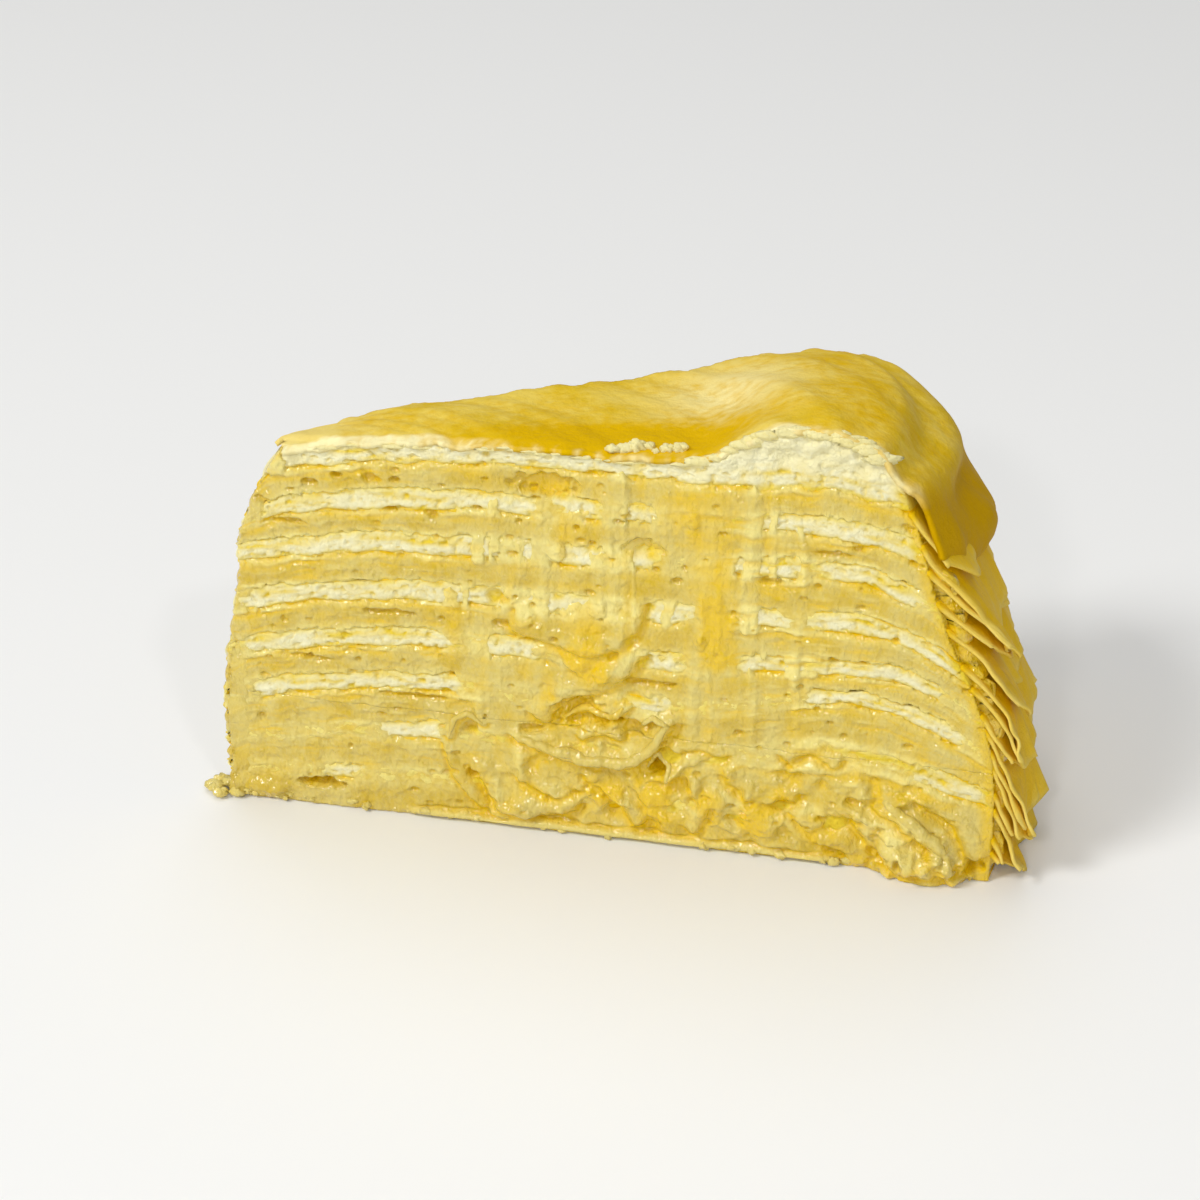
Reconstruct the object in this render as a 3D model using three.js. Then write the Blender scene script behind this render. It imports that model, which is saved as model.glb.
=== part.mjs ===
// A slice of crepe cake: thin crepes with whipped cream and fruit pulp spread between them by turns.
// Millimetres, +Z up. The tip points along -X, the round rim along +X, and the cuts face -Y and +Y.
import * as THREE from 'three';

// The cut
const HALF_CUT = THREE.MathUtils.degToRad(13.5);
const LAYER_GAP = 0.08;

// The stack, from the base up
const CREPE_THICKNESS = 0.9;
const PULP_THICKNESSES = [3.9, 4.15, 4.4, 3.45, 3.55, 3.55, 2.7, 3.0];
const CREAM_THICKNESSES = [1.8, 1.9, 2.1, 2.2, 2.3, 2.2, 2.0, 2.3];

// The rim: each layer ends a little further in than the one below it
const BASE_RADIUS = 111.7;
const RIM_LEAN = 0.276;
const RIM_FOOT = 8;
const RIM_BOW = 3;
const DROOP_REACH = 15;
const DROOP = 6;
const DROOP_AT_TOP = 1.5;
const DROOP_LEVELS = [35, 60];
const DROOP_FULL_LEVEL = 40;

// The tip: upper layers start further back, and all of them sag towards it
const TIP_RADIUS = 1.5;
const TIP_STEP_BACK = 3.5;
const TIP_STEP_LEVELS = [20, 45];
const TIP_CROWN = 6;
const TIP_CROWN_POWER = 7;
const SAG = 6.5;
const SAG_REACH = 40;
const SAG_FULL_LEVEL = 20;
const CORNER_SAG = 3.5;
const CORNER_LEVEL = 45;
const CORNER_REACH = 14;
const CORNER_WIDTH = 6.5;
const BACK_FALL = 1.3;

// The lower layers swell up near the rim
const SWELL = 5;
const SWELL_LEVEL = 19;
const SWELL_DEPTH = 9;
const SWELL_RADIUS = 90;
const SWELL_WIDTH = 16;
const TOP_SWELL = 1.2;

// The spreading is a little uneven
const WAVER = 0.35;
const WAVER_RADIUS = 17;
const WAVER_LEVEL = 9;
const WAVER_TURN = 8;

// A thick dollop of cream under the top crepe, steep towards the tip, shallow towards the rim, and
// thinning out towards the back
const DOLLOP = 6;
const DOLLOP_RADIUS = 83;
const DOLLOP_STEEP_LENGTH = 14;
const DOLLOP_SHALLOW_LENGTH = 28;

// The margin of each crepe hangs over the layers below, like a shingle
const MARGIN_LENGTH = 16;
const MARGIN_BEND = 7;
const MARGIN_START_ANGLE = THREE.MathUtils.degToRad(-24);
const MARGIN_END_ANGLE = THREE.MathUtils.degToRad(-60);
const MARGIN_THICKNESS = 0.4;
const MARGIN_CLEAR_OF_BASE = 1.2;
const RIPPLE = 0.8;
const RIPPLE_TURN = 22;
const RIPPLE_LEVEL = 14;
const PUCKER = 2.5;
const PUCKER_ANGLE = -0.03;
const PUCKER_WIDTH = 0.1;
const PUCKER_PLACE = 13;
const PUCKER_SPAN = 5;

// Facets
const ANGULAR_CELLS = 5;
const STATIONS = [0, 0.08, 0.26, 0.48, 0.68, 0.78, 0.87, 0.94, 1];
const MARGIN_STATIONS = [1.5, 3.5, 6, 9.5, 16];
const SHORTEST_CELL = 1;

const STACK_HEIGHT = [...PULP_THICKNESSES, ...CREAM_THICKNESSES].reduce((sum, t) => sum + t, 0)
  + CREPE_THICKNESS * (PULP_THICKNESSES.length + CREAM_THICKNESSES.length + 1);

const LOOKS = {
  topCrepe: { color: 0xdcae3c, roughness: 0.45, metalness: 0 },
  crepe: { color: 0xe6cc6e, roughness: 0.55, metalness: 0 },
  cream: { color: 0xf4efcd, roughness: 0.7, metalness: 0 },
  pulp: { color: 0xe3d071, roughness: 0.3, metalness: 0 },
};

/** Rises from 0 to 1 between two values, with level ends. */
function ease(from, to, value) {
  return THREE.MathUtils.smoothstep(value, from, to);
}

/** A bell of height 1 around 0. */
function bell(value) {
  return Math.exp(-value * value);
}

/** How far a turn from the middle of the slice lies from the front cut, 0, to the back cut, 1. */
function shareToBack(angle) {
  return (angle / HALF_CUT + 1) / 2;
}

/** Distance from the tip at which a layer at this level starts. */
function tipRadius(level) {
  const stepBack = TIP_STEP_BACK * ease(...TIP_STEP_LEVELS, level);
  return TIP_RADIUS + stepBack + TIP_CROWN * (level / STACK_HEIGHT) ** TIP_CROWN_POWER;
}

/** How far a layer has drooped at its rim, for its level. */
function droopAt(level) {
  const freeDroop = THREE.MathUtils.lerp(DROOP, DROOP_AT_TOP, ease(...DROOP_LEVELS, level));
  return freeDroop * ease(0, DROOP_FULL_LEVEL, level);
}

/**
 * Distance from the tip at which a layer at this level reaches the rim. The rim stands upright at
 * its foot, leans in steadily above it, and bows out in the middle of the slice.
 */
function rimRadius(level, angle) {
  const height = level - droopAt(level);
  const lean = RIM_LEAN * (Math.hypot(height, RIM_FOOT) - RIM_FOOT);
  return BASE_RADIUS - lean + RIM_BOW * (1 - (angle / HALF_CUT) ** 2);
}

/** Height of the surface that lies at this level in the middle of the slice. */
function surfaceHeight(level, radius, angle) {
  const loose = ease(0, SAG_FULL_LEVEL, level);
  const sag = SAG * loose * (Math.max(0, SAG_REACH - radius) / SAG_REACH) ** 2;
  const cornerPlace = Math.max(0, CORNER_REACH - radius) / CORNER_WIDTH;
  const cornerSag = CORNER_SAG * ease(CORNER_LEVEL, STACK_HEIGHT, level) * cornerPlace ** 2;
  const backFall = BACK_FALL * (level / STACK_HEIGHT) ** 2 * shareToBack(angle) ** 2;
  const swellAmount = SWELL * bell((level - SWELL_LEVEL) / SWELL_DEPTH) + TOP_SWELL * level / STACK_HEIGHT;
  const swell = swellAmount * ease(0, SWELL_DEPTH, level) * bell((radius - SWELL_RADIUS) / SWELL_WIDTH);
  const overRim = Math.max(0, radius - rimRadius(level, angle) + DROOP_REACH) / DROOP_REACH;
  const droop = droopAt(level) * overRim ** 2;
  const waver = WAVER * loose * Math.sin(radius / WAVER_RADIUS + level / WAVER_LEVEL + angle * WAVER_TURN);
  return level - sag - cornerSag - backFall + swell - droop + waver;
}

/** Lift of a layer that lies flat. */
function noLift() {
  return 0;
}

/** How much the dollop lifts the top crepe. */
function dollopLift(radius, angle) {
  const sideLength = radius < DOLLOP_RADIUS ? DOLLOP_STEEP_LENGTH : DOLLOP_SHALLOW_LENGTH;
  const along = Math.min(1, Math.abs(radius - DOLLOP_RADIUS) / sideLength);
  return DOLLOP * (1 - shareToBack(angle) ** 2) * (1 - along * along) ** 2;
}

/** A point at a distance from the tip, turned by an angle from the middle of the slice. */
function polar(radius, angle, height) {
  return new THREE.Vector3(radius * Math.cos(angle), radius * Math.sin(angle), height);
}

/** The angles of the rows of points across the slice, from one cut to the other. */
function rowAngles() {
  return Array.from({ length: ANGULAR_CELLS + 1 }, (_, row) => HALF_CUT * (2 * row / ANGULAR_CELLS - 1));
}

/** Rows of points on the surface at this level, moved up by a lift and a small shift. */
function surfaceRows(level, shift, lift) {
  const start = tipRadius(level);
  return rowAngles().map((angle) => STATIONS.map((station) => {
    const radius = THREE.MathUtils.lerp(start, rimRadius(level, angle), station);
    return polar(radius, angle, surfaceHeight(level, radius, angle) + lift(radius, angle) + shift);
  }));
}

/** How far a crepe's margin stands out this far down along it, beyond its plain fall. */
function marginRipple(level, angle, travelled, pucker) {
  const wave = RIPPLE * (travelled / MARGIN_LENGTH) * Math.sin(RIPPLE_TURN * angle + level / RIPPLE_LEVEL);
  const across = (angle - PUCKER_ANGLE) / PUCKER_WIDTH;
  const down = (travelled - PUCKER_PLACE) / PUCKER_SPAN;
  return wave + pucker * bell(across) * bell(down);
}

/** Distances along a margin of this length at which it has points. */
function marginStations(length) {
  return [...MARGIN_STATIONS.filter((station) => station < length - SHORTEST_CELL), length];
}

/**
 * Points of both faces of a crepe's hanging margin, from the rim to its free edge. It starts as a
 * shallow slope, bends down and runs on straight, in the same way for every crepe, so they nest.
 */
function marginRows(level, angle, lift, pucker) {
  const room = level + CREPE_THICKNESS / 2 - droopAt(level) - MARGIN_CLEAR_OF_BASE;
  const length = Math.min(MARGIN_LENGTH, room / Math.sin(-MARGIN_END_ANGLE));
  const rows = { under: [], over: [] };
  let radius = rimRadius(level, angle);
  let height = surfaceHeight(level + CREPE_THICKNESS / 2, radius, angle) + lift(radius, angle);
  let travelled = 0;
  for (const station of marginStations(length)) {
    const step = station - travelled;
    const bend = ease(0, MARGIN_BEND, travelled + step / 2);
    const slope = THREE.MathUtils.lerp(MARGIN_START_ANGLE, MARGIN_END_ANGLE, bend);
    radius += step * Math.cos(slope);
    height += step * Math.sin(slope);
    travelled = station;
    const out = radius + marginRipple(level, angle, travelled, pucker);
    const half = new THREE.Vector2(-Math.sin(slope), Math.cos(slope)).multiplyScalar(MARGIN_THICKNESS / 2);
    rows.under.push(polar(out - half.x, angle, height - half.y));
    rows.over.push(polar(out + half.x, angle, height + half.y));
  }
  return rows;
}

/** A closed solid between an under face and an over face, each given as rows of points. */
function slab(under, over) {
  const rowCount = under.length;
  const pointCount = under[0].length;
  const faceSize = rowCount * pointCount;
  const indexOf = (face, row, point) => face * faceSize + row * pointCount + point;
  const indices = [];
  const quad = (a, b, c, d) => indices.push(a, b, c, a, c, d);
  for (let row = 0; row + 1 < rowCount; row += 1) {
    for (let point = 0; point + 1 < pointCount; point += 1) {
      const corners = [[row, point], [row, point + 1], [row + 1, point + 1], [row + 1, point]];
      quad(...corners.map(([r, p]) => indexOf(1, r, p)));
      const [a, b, c, d] = corners.map(([r, p]) => indexOf(0, r, p));
      indices.push(a, c, b, a, d, c);
    }
    const last = pointCount - 1;
    quad(indexOf(0, row + 1, 0), indexOf(0, row, 0), indexOf(1, row, 0), indexOf(1, row + 1, 0));
    quad(indexOf(0, row, last), indexOf(0, row + 1, last), indexOf(1, row + 1, last), indexOf(1, row, last));
  }
  for (let point = 0; point + 1 < pointCount; point += 1) {
    const next = point + 1;
    const last = rowCount - 1;
    quad(indexOf(0, 0, point), indexOf(0, 0, next), indexOf(1, 0, next), indexOf(1, 0, point));
    quad(indexOf(0, last, next), indexOf(0, last, point), indexOf(1, last, point), indexOf(1, last, next));
  }
  const geometry = new THREE.BufferGeometry().setFromPoints([...under.flat(), ...over.flat()]);
  geometry.setIndex(indices);
  geometry.computeVertexNormals();
  return geometry;
}

/** A filling spread between the surfaces at two levels, with its upper face lifted. */
function filling(fromLevel, toLevel, lift) {
  return slab(surfaceRows(fromLevel, LAYER_GAP / 2, noLift), surfaceRows(toLevel, -LAYER_GAP / 2, lift));
}

/** A crepe lying on the surface at this level, with its margin hanging over the rim. */
function crepe(level, lift, pucker) {
  const baseShift = level === 0 ? 0 : LAYER_GAP / 2;
  const under = surfaceRows(level, baseShift, lift);
  const over = surfaceRows(level + CREPE_THICKNESS, -LAYER_GAP / 2, lift);
  if (level > 0) {
    rowAngles().forEach((angle, row) => {
      const margin = marginRows(level, angle, lift, pucker);
      under[row].push(...margin.under);
      over[row].push(...margin.over);
    });
  }
  return slab(under, over);
}

/** A named piece in one of the finishes. */
function piece(name, look, geometry) {
  const mesh = new THREE.Mesh(geometry, new THREE.MeshStandardMaterial(LOOKS[look]));
  mesh.name = name;
  return mesh;
}

/** The whole slice, with the middle of its base at the origin. */
function buildSlice() {
  const slice = new THREE.Group();
  let level = 0;
  let crepeCount = 0;
  const layCrepe = () => {
    slice.add(piece(`crepe_${String(crepeCount).padStart(2, '0')}`, 'crepe', crepe(level, noLift, 0)));
    crepeCount += 1;
    level += CREPE_THICKNESS;
  };
  PULP_THICKNESSES.forEach((pulpThickness, period) => {
    layCrepe();
    slice.add(piece(`pulp_${period}`, 'pulp', filling(level, level + pulpThickness, noLift)));
    level += pulpThickness;
    layCrepe();
    const lift = period === PULP_THICKNESSES.length - 1 ? dollopLift : noLift;
    const creamTop = level + CREAM_THICKNESSES[period];
    slice.add(piece(`cream_${period}`, 'cream', filling(level, creamTop, lift)));
    level = creamTop;
  });
  slice.add(piece('top_crepe', 'topCrepe', crepe(level, dollopLift, PUCKER)));

  const box = new THREE.Box3().setFromObject(slice, true);
  const middle = box.getCenter(new THREE.Vector3());
  slice.position.set(-middle.x, -middle.y, -box.min.z);
  return slice;
}

export default buildSlice();
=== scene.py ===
"""Looks of a slice of crepe cake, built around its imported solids.

Every crepe, cream layer and pulp layer of the frame is replaced by a closed mesh with the torn,
porous and smeared surface of a real cut. Lengths in this script are millimetres from the tip of the
slice, and a piece turns them into metres of the frame when its mesh is made. Where noise is read, the
number that a length is divided by is the size of the bumps, and a number added to it only picks
another place in the noise.
"""

import logging
import math
from collections.abc import Callable, Sequence
from dataclasses import dataclass, field
from enum import Enum

import bpy
import numpy as np
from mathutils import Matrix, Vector
from mathutils.geometry import delaunay_2d_cdt


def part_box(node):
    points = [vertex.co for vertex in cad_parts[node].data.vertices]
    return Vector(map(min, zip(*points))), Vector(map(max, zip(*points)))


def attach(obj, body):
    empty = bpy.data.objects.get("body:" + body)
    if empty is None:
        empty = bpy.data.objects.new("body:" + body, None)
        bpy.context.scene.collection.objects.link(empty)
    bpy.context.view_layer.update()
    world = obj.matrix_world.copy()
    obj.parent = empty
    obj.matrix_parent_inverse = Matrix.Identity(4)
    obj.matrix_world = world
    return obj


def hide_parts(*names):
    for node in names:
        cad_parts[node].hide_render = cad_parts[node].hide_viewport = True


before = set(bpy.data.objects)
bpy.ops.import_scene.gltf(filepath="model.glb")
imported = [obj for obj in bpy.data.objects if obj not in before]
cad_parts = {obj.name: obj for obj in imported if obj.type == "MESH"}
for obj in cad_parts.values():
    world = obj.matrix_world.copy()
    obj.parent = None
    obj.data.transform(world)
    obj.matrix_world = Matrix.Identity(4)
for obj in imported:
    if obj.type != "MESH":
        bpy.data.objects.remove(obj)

log = logging.getLogger("crepe_cake")

Grid = np.ndarray
Part = tuple[slice, slice]
Span = tuple[float, float]
Triple = tuple[float, float, float]
Socket = bpy.types.NodeSocket

BODY = "root"
METRES = 0.001
HALF_CUT = math.radians(13.5)
RIM_RADIUS = 110.0
DOLLOP_NODE = "cream_7"
FOOT_TOP = 18.0
ABOVE_ALL = 70.0
NO_TRIANGLES = np.zeros((0, 3), dtype=int)


def ease(low: float, high: float, value: Grid | float) -> Grid:
    """Rises smoothly from 0 at low to 1 at high."""
    t = np.clip((np.asarray(value, dtype=float) - low) / (high - low), 0.0, 1.0)
    return t * t * (3.0 - 2.0 * t)


def bell(value: Grid | float) -> Grid:
    """A bell of height 1 around 0."""
    return np.exp(-np.square(value))


def mix(a: Grid | float, b: Grid | float, share: Grid | float) -> Grid:
    """Goes from a to b as share goes from 0 to 1."""
    return a + (b - a) * share


def around_tip(radius: Grid, turn: Grid, height: Grid | float) -> Grid:
    """Places points around the tip of the slice.

    Args:
        radius: Distances from the tip.
        turn: Turns from the middle of the slice.
        height: Heights.

    Returns:
        The points, in a last axis of three.
    """
    return np.stack(np.broadcast_arrays(radius * np.cos(turn), radius * np.sin(turn), height), axis=-1)


def closed_ring(number: Grid) -> Grid:
    """Repeats the first column of a grid after its last, so that faces go all the way round."""
    return np.concatenate([number, number[:, :1]], axis=1)


def grid_quads(number: Grid, turned: bool = False) -> Grid:
    """Joins the points of a grid with four-sided faces.

    Args:
        number: Number of each point, rows by columns.
        turned: Whether the faces look the other way.

    Returns:
        The faces, rows by columns by 4.
    """
    corners = [number[:-1, :-1], number[1:, :-1], number[1:, 1:], number[:-1, 1:]]
    if turned:
        corners = [corners[0], *corners[:0:-1]]
    return np.stack(corners, axis=-1)


def open_edges(quads: Grid, size: int) -> Grid:
    """Finds the edges that only one face has.

    Args:
        quads: The faces, one a row.
        size: How many points there are.

    Returns:
        The edges, as pairs of points.
    """
    edges = np.concatenate([quads[:, (k, (k + 1) % 4)] for k in range(4)])
    keys = edges[:, 0] * size + edges[:, 1]
    back = edges[:, 1] * size + edges[:, 0]
    return edges[~np.isin(keys, back)]


def soften(guide: Grid, step: float) -> Grid:
    """Makes a smooth curve through a few points.

    Args:
        guide: The points, one a row.
        step: Spacing of the curve's own points.

    Returns:
        The curve's points.
    """
    length = float(np.linalg.norm(np.diff(guide, axis=0), axis=1).sum())
    place = np.linspace(0.0, len(guide) - 1.0, max(8, round(length / step)))
    curve = np.stack([np.interp(place, np.arange(len(guide)), column) for column in guide.T], axis=1)
    even_out(curve, round(0.4 * len(place) / len(guide)) + 2)
    return curve


def even_out(values: Grid, times: int) -> None:
    """Moves each value towards its neighbours, in place, and leaves both ends where they are.

    Args:
        values: The values, one a row.
        times: How often.
    """
    for _ in range(times):
        values[1:-1] = (values[:-2] + 2.0 * values[1:-1] + values[2:]) / 4.0


class Noise:
    """Smooth seeded noise over a plane, between about -1 and 1."""

    SIZE = 256
    GAIN = 1.4
    LAYERED_GAIN = 1.3
    SHIFT = (17.3, 9.1)
    TURN = 2.0 * math.pi

    def __init__(self, seed: int) -> None:
        """Draws the table of slopes.

        Args:
            seed: Seed of the table.
        """
        turns = np.random.default_rng(seed).random((self.SIZE, self.SIZE)) * self.TURN
        self.slope_x = np.cos(turns)
        self.slope_y = np.sin(turns)

    def __call__(self, x: Grid | float, y: Grid | float) -> Grid:
        """Noise at points.

        Args:
            x: First coordinate, in lengths of about one bump.
            y: Second coordinate.

        Returns:
            The noise, in the shape that x and y share.
        """
        x, y = np.broadcast_arrays(np.asarray(x, dtype=float), np.asarray(y, dtype=float))
        column = np.floor(x).astype(int)
        row = np.floor(y).astype(int)
        across = x - column
        up = y - row

        def corner(dc: int, dr: int) -> Grid:
            """Works out what one corner of each cell adds.

            Args:
                dc: 0 for a corner at the left, 1 for one at the right.
                dr: 0 for a lower corner, 1 for an upper one.

            Returns:
                The corner's slope times the way from it.
            """
            c = (column + dc) % self.SIZE
            r = (row + dr) % self.SIZE
            return self.slope_x[c, r] * (across - dc) + self.slope_y[c, r] * (up - dr)

        share_x = across ** 3 * (across * (across * 6.0 - 15.0) + 10.0)
        share_y = up ** 3 * (up * (up * 6.0 - 15.0) + 10.0)
        low = mix(corner(0, 0), corner(1, 0), share_x)
        high = mix(corner(0, 1), corner(1, 1), share_x)
        return self.GAIN * mix(low, high, share_y)

    def layered(self, x: Grid | float, y: Grid | float, octaves: int) -> Grid:
        """Several sizes of the noise added up, each half as large and half as strong.

        Args:
            x: First coordinate, in lengths of the largest bumps.
            y: Second coordinate.
            octaves: How many sizes.

        Returns:
            The noise, between about -1 and 1.
        """
        total = 0.0
        reach = 0.0
        for octave in range(octaves):
            scale = 2.0 ** octave
            x_there = x * scale + self.SHIFT[0] * octave
            y_there = y * scale - self.SHIFT[1] * octave
            total = total + self(x_there, y_there) / scale
            reach += 1.0 / scale
        return total / reach * self.LAYERED_GAIN


class Filling(Enum):
    """What is spread between two crepes."""

    PULP = "pulp"
    CREAM = "cream"


@dataclass(frozen=True)
class Stack:
    """The heights and the outline of the layers, as in the solids.

    The plain stack is the layers laid flat. A level is a height in it, and height() says where a point
    of that level lies once the layers sag at the tip, swell near the rim and droop over it. The rim
    leans inwards as it rises, and the dollop of cream lifts the top crepe.
    """

    crepe: float = 0.9
    pulps: tuple[float, ...] = (3.9, 4.15, 4.4, 3.45, 3.55, 3.55, 2.7, 3.0)
    creams: tuple[float, ...] = (1.8, 1.9, 2.1, 2.2, 2.3, 2.2, 2.0, 2.3)
    rim_radius_at_base: float = 112.0
    rim_upright: float = 8.0
    rim_reach: float = 49.0
    rim_lean: float = 14.0
    rim_lean_power: float = 1.9
    rim_bow: float = 3.0
    rim_hollow: float = 2.6
    rim_hollow_height: float = 41.0
    rim_hollow_reach: float = 13.0
    droop_reach: float = 15.0
    droop: float = 6.0
    droop_at_top: float = 1.5
    droop_full: float = 40.0
    stiffer: Span = (35.0, 60.0)
    tip: float = 1.5
    tip_step_back: float = 3.5
    tip_step_levels: Span = (20.0, 45.0)
    tip_crown: float = 8.0
    tip_crown_power: float = 12.0
    tip_bump: float = 0.5
    sag: float = 6.5
    sag_reach: float = 40.0
    sag_full: float = 20.0
    corner: float = 3.5
    corner_reach: float = 14.0
    corner_width: float = 6.5
    corner_level: float = 45.0
    back_fall: float = 1.3
    swell: float = 5.0
    swell_level: float = 19.0
    swell_depth: float = 9.0
    swell_radius: float = 90.0
    swell_width: float = 16.0
    top_swell: float = 1.2
    waver: float = 0.35
    unevenness: float = 0.3
    thickness_change: float = 0.45
    dollop_size: float = 6.0
    dollop_radius: float = 83.0
    dollop_steep: float = 14.0
    dollop_shallow: float = 28.0
    shoulder: float = 2.6
    shoulder_reach: float = 4.5
    noise: Noise = field(default_factory=lambda: Noise(5))

    @property
    def top(self) -> float:
        """Height of the plain stack."""
        crepes = 2 * len(self.pulps) + 1
        return sum(self.pulps) + sum(self.creams) + crepes * self.crepe

    def tip_radius(self, level: Grid | float) -> Grid:
        """Works out where a layer starts.

        Args:
            level: Its level in the plain stack.

        Returns:
            The distance from the tip.
        """
        level = np.asarray(level, dtype=float)
        step_back = self.tip_step_back * ease(*self.tip_step_levels, level)
        return self.tip + step_back + self.tip_crown * (level / self.top) ** self.tip_crown_power

    def tip_edge(self, level: Grid | float) -> Grid:
        """Where a layer's torn tip starts."""
        return self.tip_radius(level) - self.tip_bump * self.noise(np.asarray(level) / 2.2, 3.0)

    def droop_at(self, level: Grid | float) -> Grid:
        """How far a layer has drooped at its rim."""
        free = mix(self.droop, self.droop_at_top, ease(*self.stiffer, level))
        return free * ease(0.0, self.droop_full, level)

    def rim_line(self, height: Grid | float, angle: Grid | float) -> Grid:
        """Works out where the rim of the fillings is.

        Args:
            height: Height above the base.
            angle: Turn from the middle of the slice.

        Returns:
            The distance from the tip.
        """
        over = np.maximum(0.0, np.asarray(height, dtype=float) - self.rim_upright) / self.rim_reach
        bow = self.rim_bow * (1.0 - np.square(np.asarray(angle) / HALF_CUT))
        leaning = self.rim_radius_at_base - self.rim_lean * over ** self.rim_lean_power
        return leaning + bow - self.hollow(height, angle)

    def hollow(self, height: Grid | float, angle: Grid | float) -> Grid:
        """Works out how far the rim is drawn in beside the front cut, where the margins stand off.

        Args:
            height: Height above the base.
            angle: Turn from the middle of the slice.

        Returns:
            The depth.
        """
        front = np.square((1.0 - np.asarray(angle) / HALF_CUT) / 2.0)
        off = (np.asarray(height) - self.rim_hollow_height) / self.rim_hollow_reach
        return self.rim_hollow * bell(off) * front

    def rim_radius(self, level: Grid | float, angle: Grid | float) -> Grid:
        """Distance from the tip at which a layer reaches the rim."""
        return self.rim_line(level - self.droop_at(level), angle)

    def height(self, level: Grid | float, radius: Grid, angle: Grid | float) -> Grid:
        """Height of the surface that lies at a level in the middle of the slice.

        Args:
            level: Height of the surface in the plain stack.
            radius: Distance from the tip.
            angle: Turn from the middle of the slice.

        Returns:
            The height above the base.
        """
        level = np.asarray(level, dtype=float)
        angle = np.asarray(angle, dtype=float)
        loose = ease(0.0, self.sag_full, level)
        share = level / self.top
        sag = self.sag * loose * (np.maximum(0.0, self.sag_reach - radius) / self.sag_reach) ** 2
        inside = np.maximum(0.0, self.corner_reach - radius) / self.corner_width
        sag = sag + self.corner * ease(self.corner_level, self.top, level) * inside ** 2
        sag = sag + self.back_fall * share ** 2 * (angle / HALF_CUT + 1.0) ** 2 / 4.0
        lifted = self.swell * bell((level - self.swell_level) / self.swell_depth)
        lifted = (lifted + self.top_swell * share) * ease(0.0, self.swell_depth, level)
        swell = lifted * bell((radius - self.swell_radius) / self.swell_width)
        over = np.maximum(0.0, radius - self.rim_radius(level, angle) + self.droop_reach) / self.droop_reach
        droop = self.droop_at(level) * over ** 2
        waver = self.waver * np.sin(radius / 17.0 + level / 9.0 + angle * 8.0)
        depth = radius * angle
        uneven = self.noise.layered(radius / 9.0 + level / 13.0, depth / 9.0 + level / 6.0, 2)
        change = self.noise(radius / 4.5 + angle * 9.0, level / 2.6)
        fine = self.unevenness * uneven + self.thickness_change * change
        return level - sag + swell - droop + loose * (waver + fine)

    def dollop(self, radius: Grid, angle: Grid | float) -> Grid:
        """How much the dollop of cream lifts the top crepe.

        Args:
            radius: Distance from the tip.
            angle: Turn from the middle of the slice.

        Returns:
            The lift, which fades towards the back.
        """
        side = np.where(radius < self.dollop_radius, self.dollop_steep, self.dollop_shallow)
        along = np.clip(np.abs(radius - self.dollop_radius) / side, 0.0, 1.0)
        faded = 1.0 - np.square((np.asarray(angle) / HALF_CUT + 1.0) / 2.0)
        inside = self.rim_radius(self.top, angle) - radius
        rounded = self.shoulder * mix(0.2, 1.0, faded) * ease(self.shoulder_reach, 0.0, inside) ** 2
        return self.dollop_size * faded * (1.0 - along ** 2) ** 2 - rounded

    def top_height(self, radius: Grid | float, angle: Grid | float, level: float) -> Grid:
        """Height of a surface at this level with the dollop under it."""
        radius = np.asarray(radius)
        return self.height(level, radius, angle) + self.dollop(radius, angle)


@dataclass(frozen=True)
class Layer:
    """One layer of the stack: its node, its levels and its filling, or None for a crepe."""

    node: str
    low: float
    high: float
    filling: Filling | None


def lay_stack(stack: Stack) -> list[Layer]:
    """Lists the layers from the base up, with the names of their nodes.

    Args:
        stack: The thicknesses.

    Returns:
        The layers, the top crepe last.
    """
    layers: list[Layer] = []
    level = 0.0
    for period, (pulp, cream) in enumerate(zip(stack.pulps, stack.creams)):
        for filling, thickness in ((Filling.PULP, pulp), (Filling.CREAM, cream)):
            crepe = f"crepe_{len(layers) // 2:02d}"
            layers.append(Layer(crepe, level, level + stack.crepe, None))
            level += stack.crepe
            layers.append(Layer(f"{filling.value}_{period}", level, level + thickness, filling))
            level += thickness
    layers.append(Layer("top_crepe", level, level + stack.crepe, None))
    return layers


@dataclass(frozen=True)
class Smear:
    """A band of pulp dragged down over the cut by the knife."""

    along: float
    top: float
    bottom: float
    width: float
    proud: float
    deep: float = 0.0
    pale: float = 0.0


@dataclass(frozen=True)
class Hollow:
    """A pit in the cut, painted deep yellow inside as shade."""

    along: float
    up: float
    half_length: float
    half_height: float
    depth: float
    deep: float = 0.8


@dataclass(frozen=True)
class Lump:
    """A rounded lump of pulp on the cut."""

    along: float
    up: float
    half_length: float
    half_height: float
    proud: float
    deep: float = 0.0
    pale: float = 0.0


@dataclass(frozen=True)
class Roll:
    """A lip of pulp that follows a curve over the cut."""

    points: tuple[Span, ...]
    radius: float
    proud: float = 0.3
    flat: float = 1.0
    taper: float = 0.7
    lumpy: float = 0.25
    deep: float = 0.0


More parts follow.
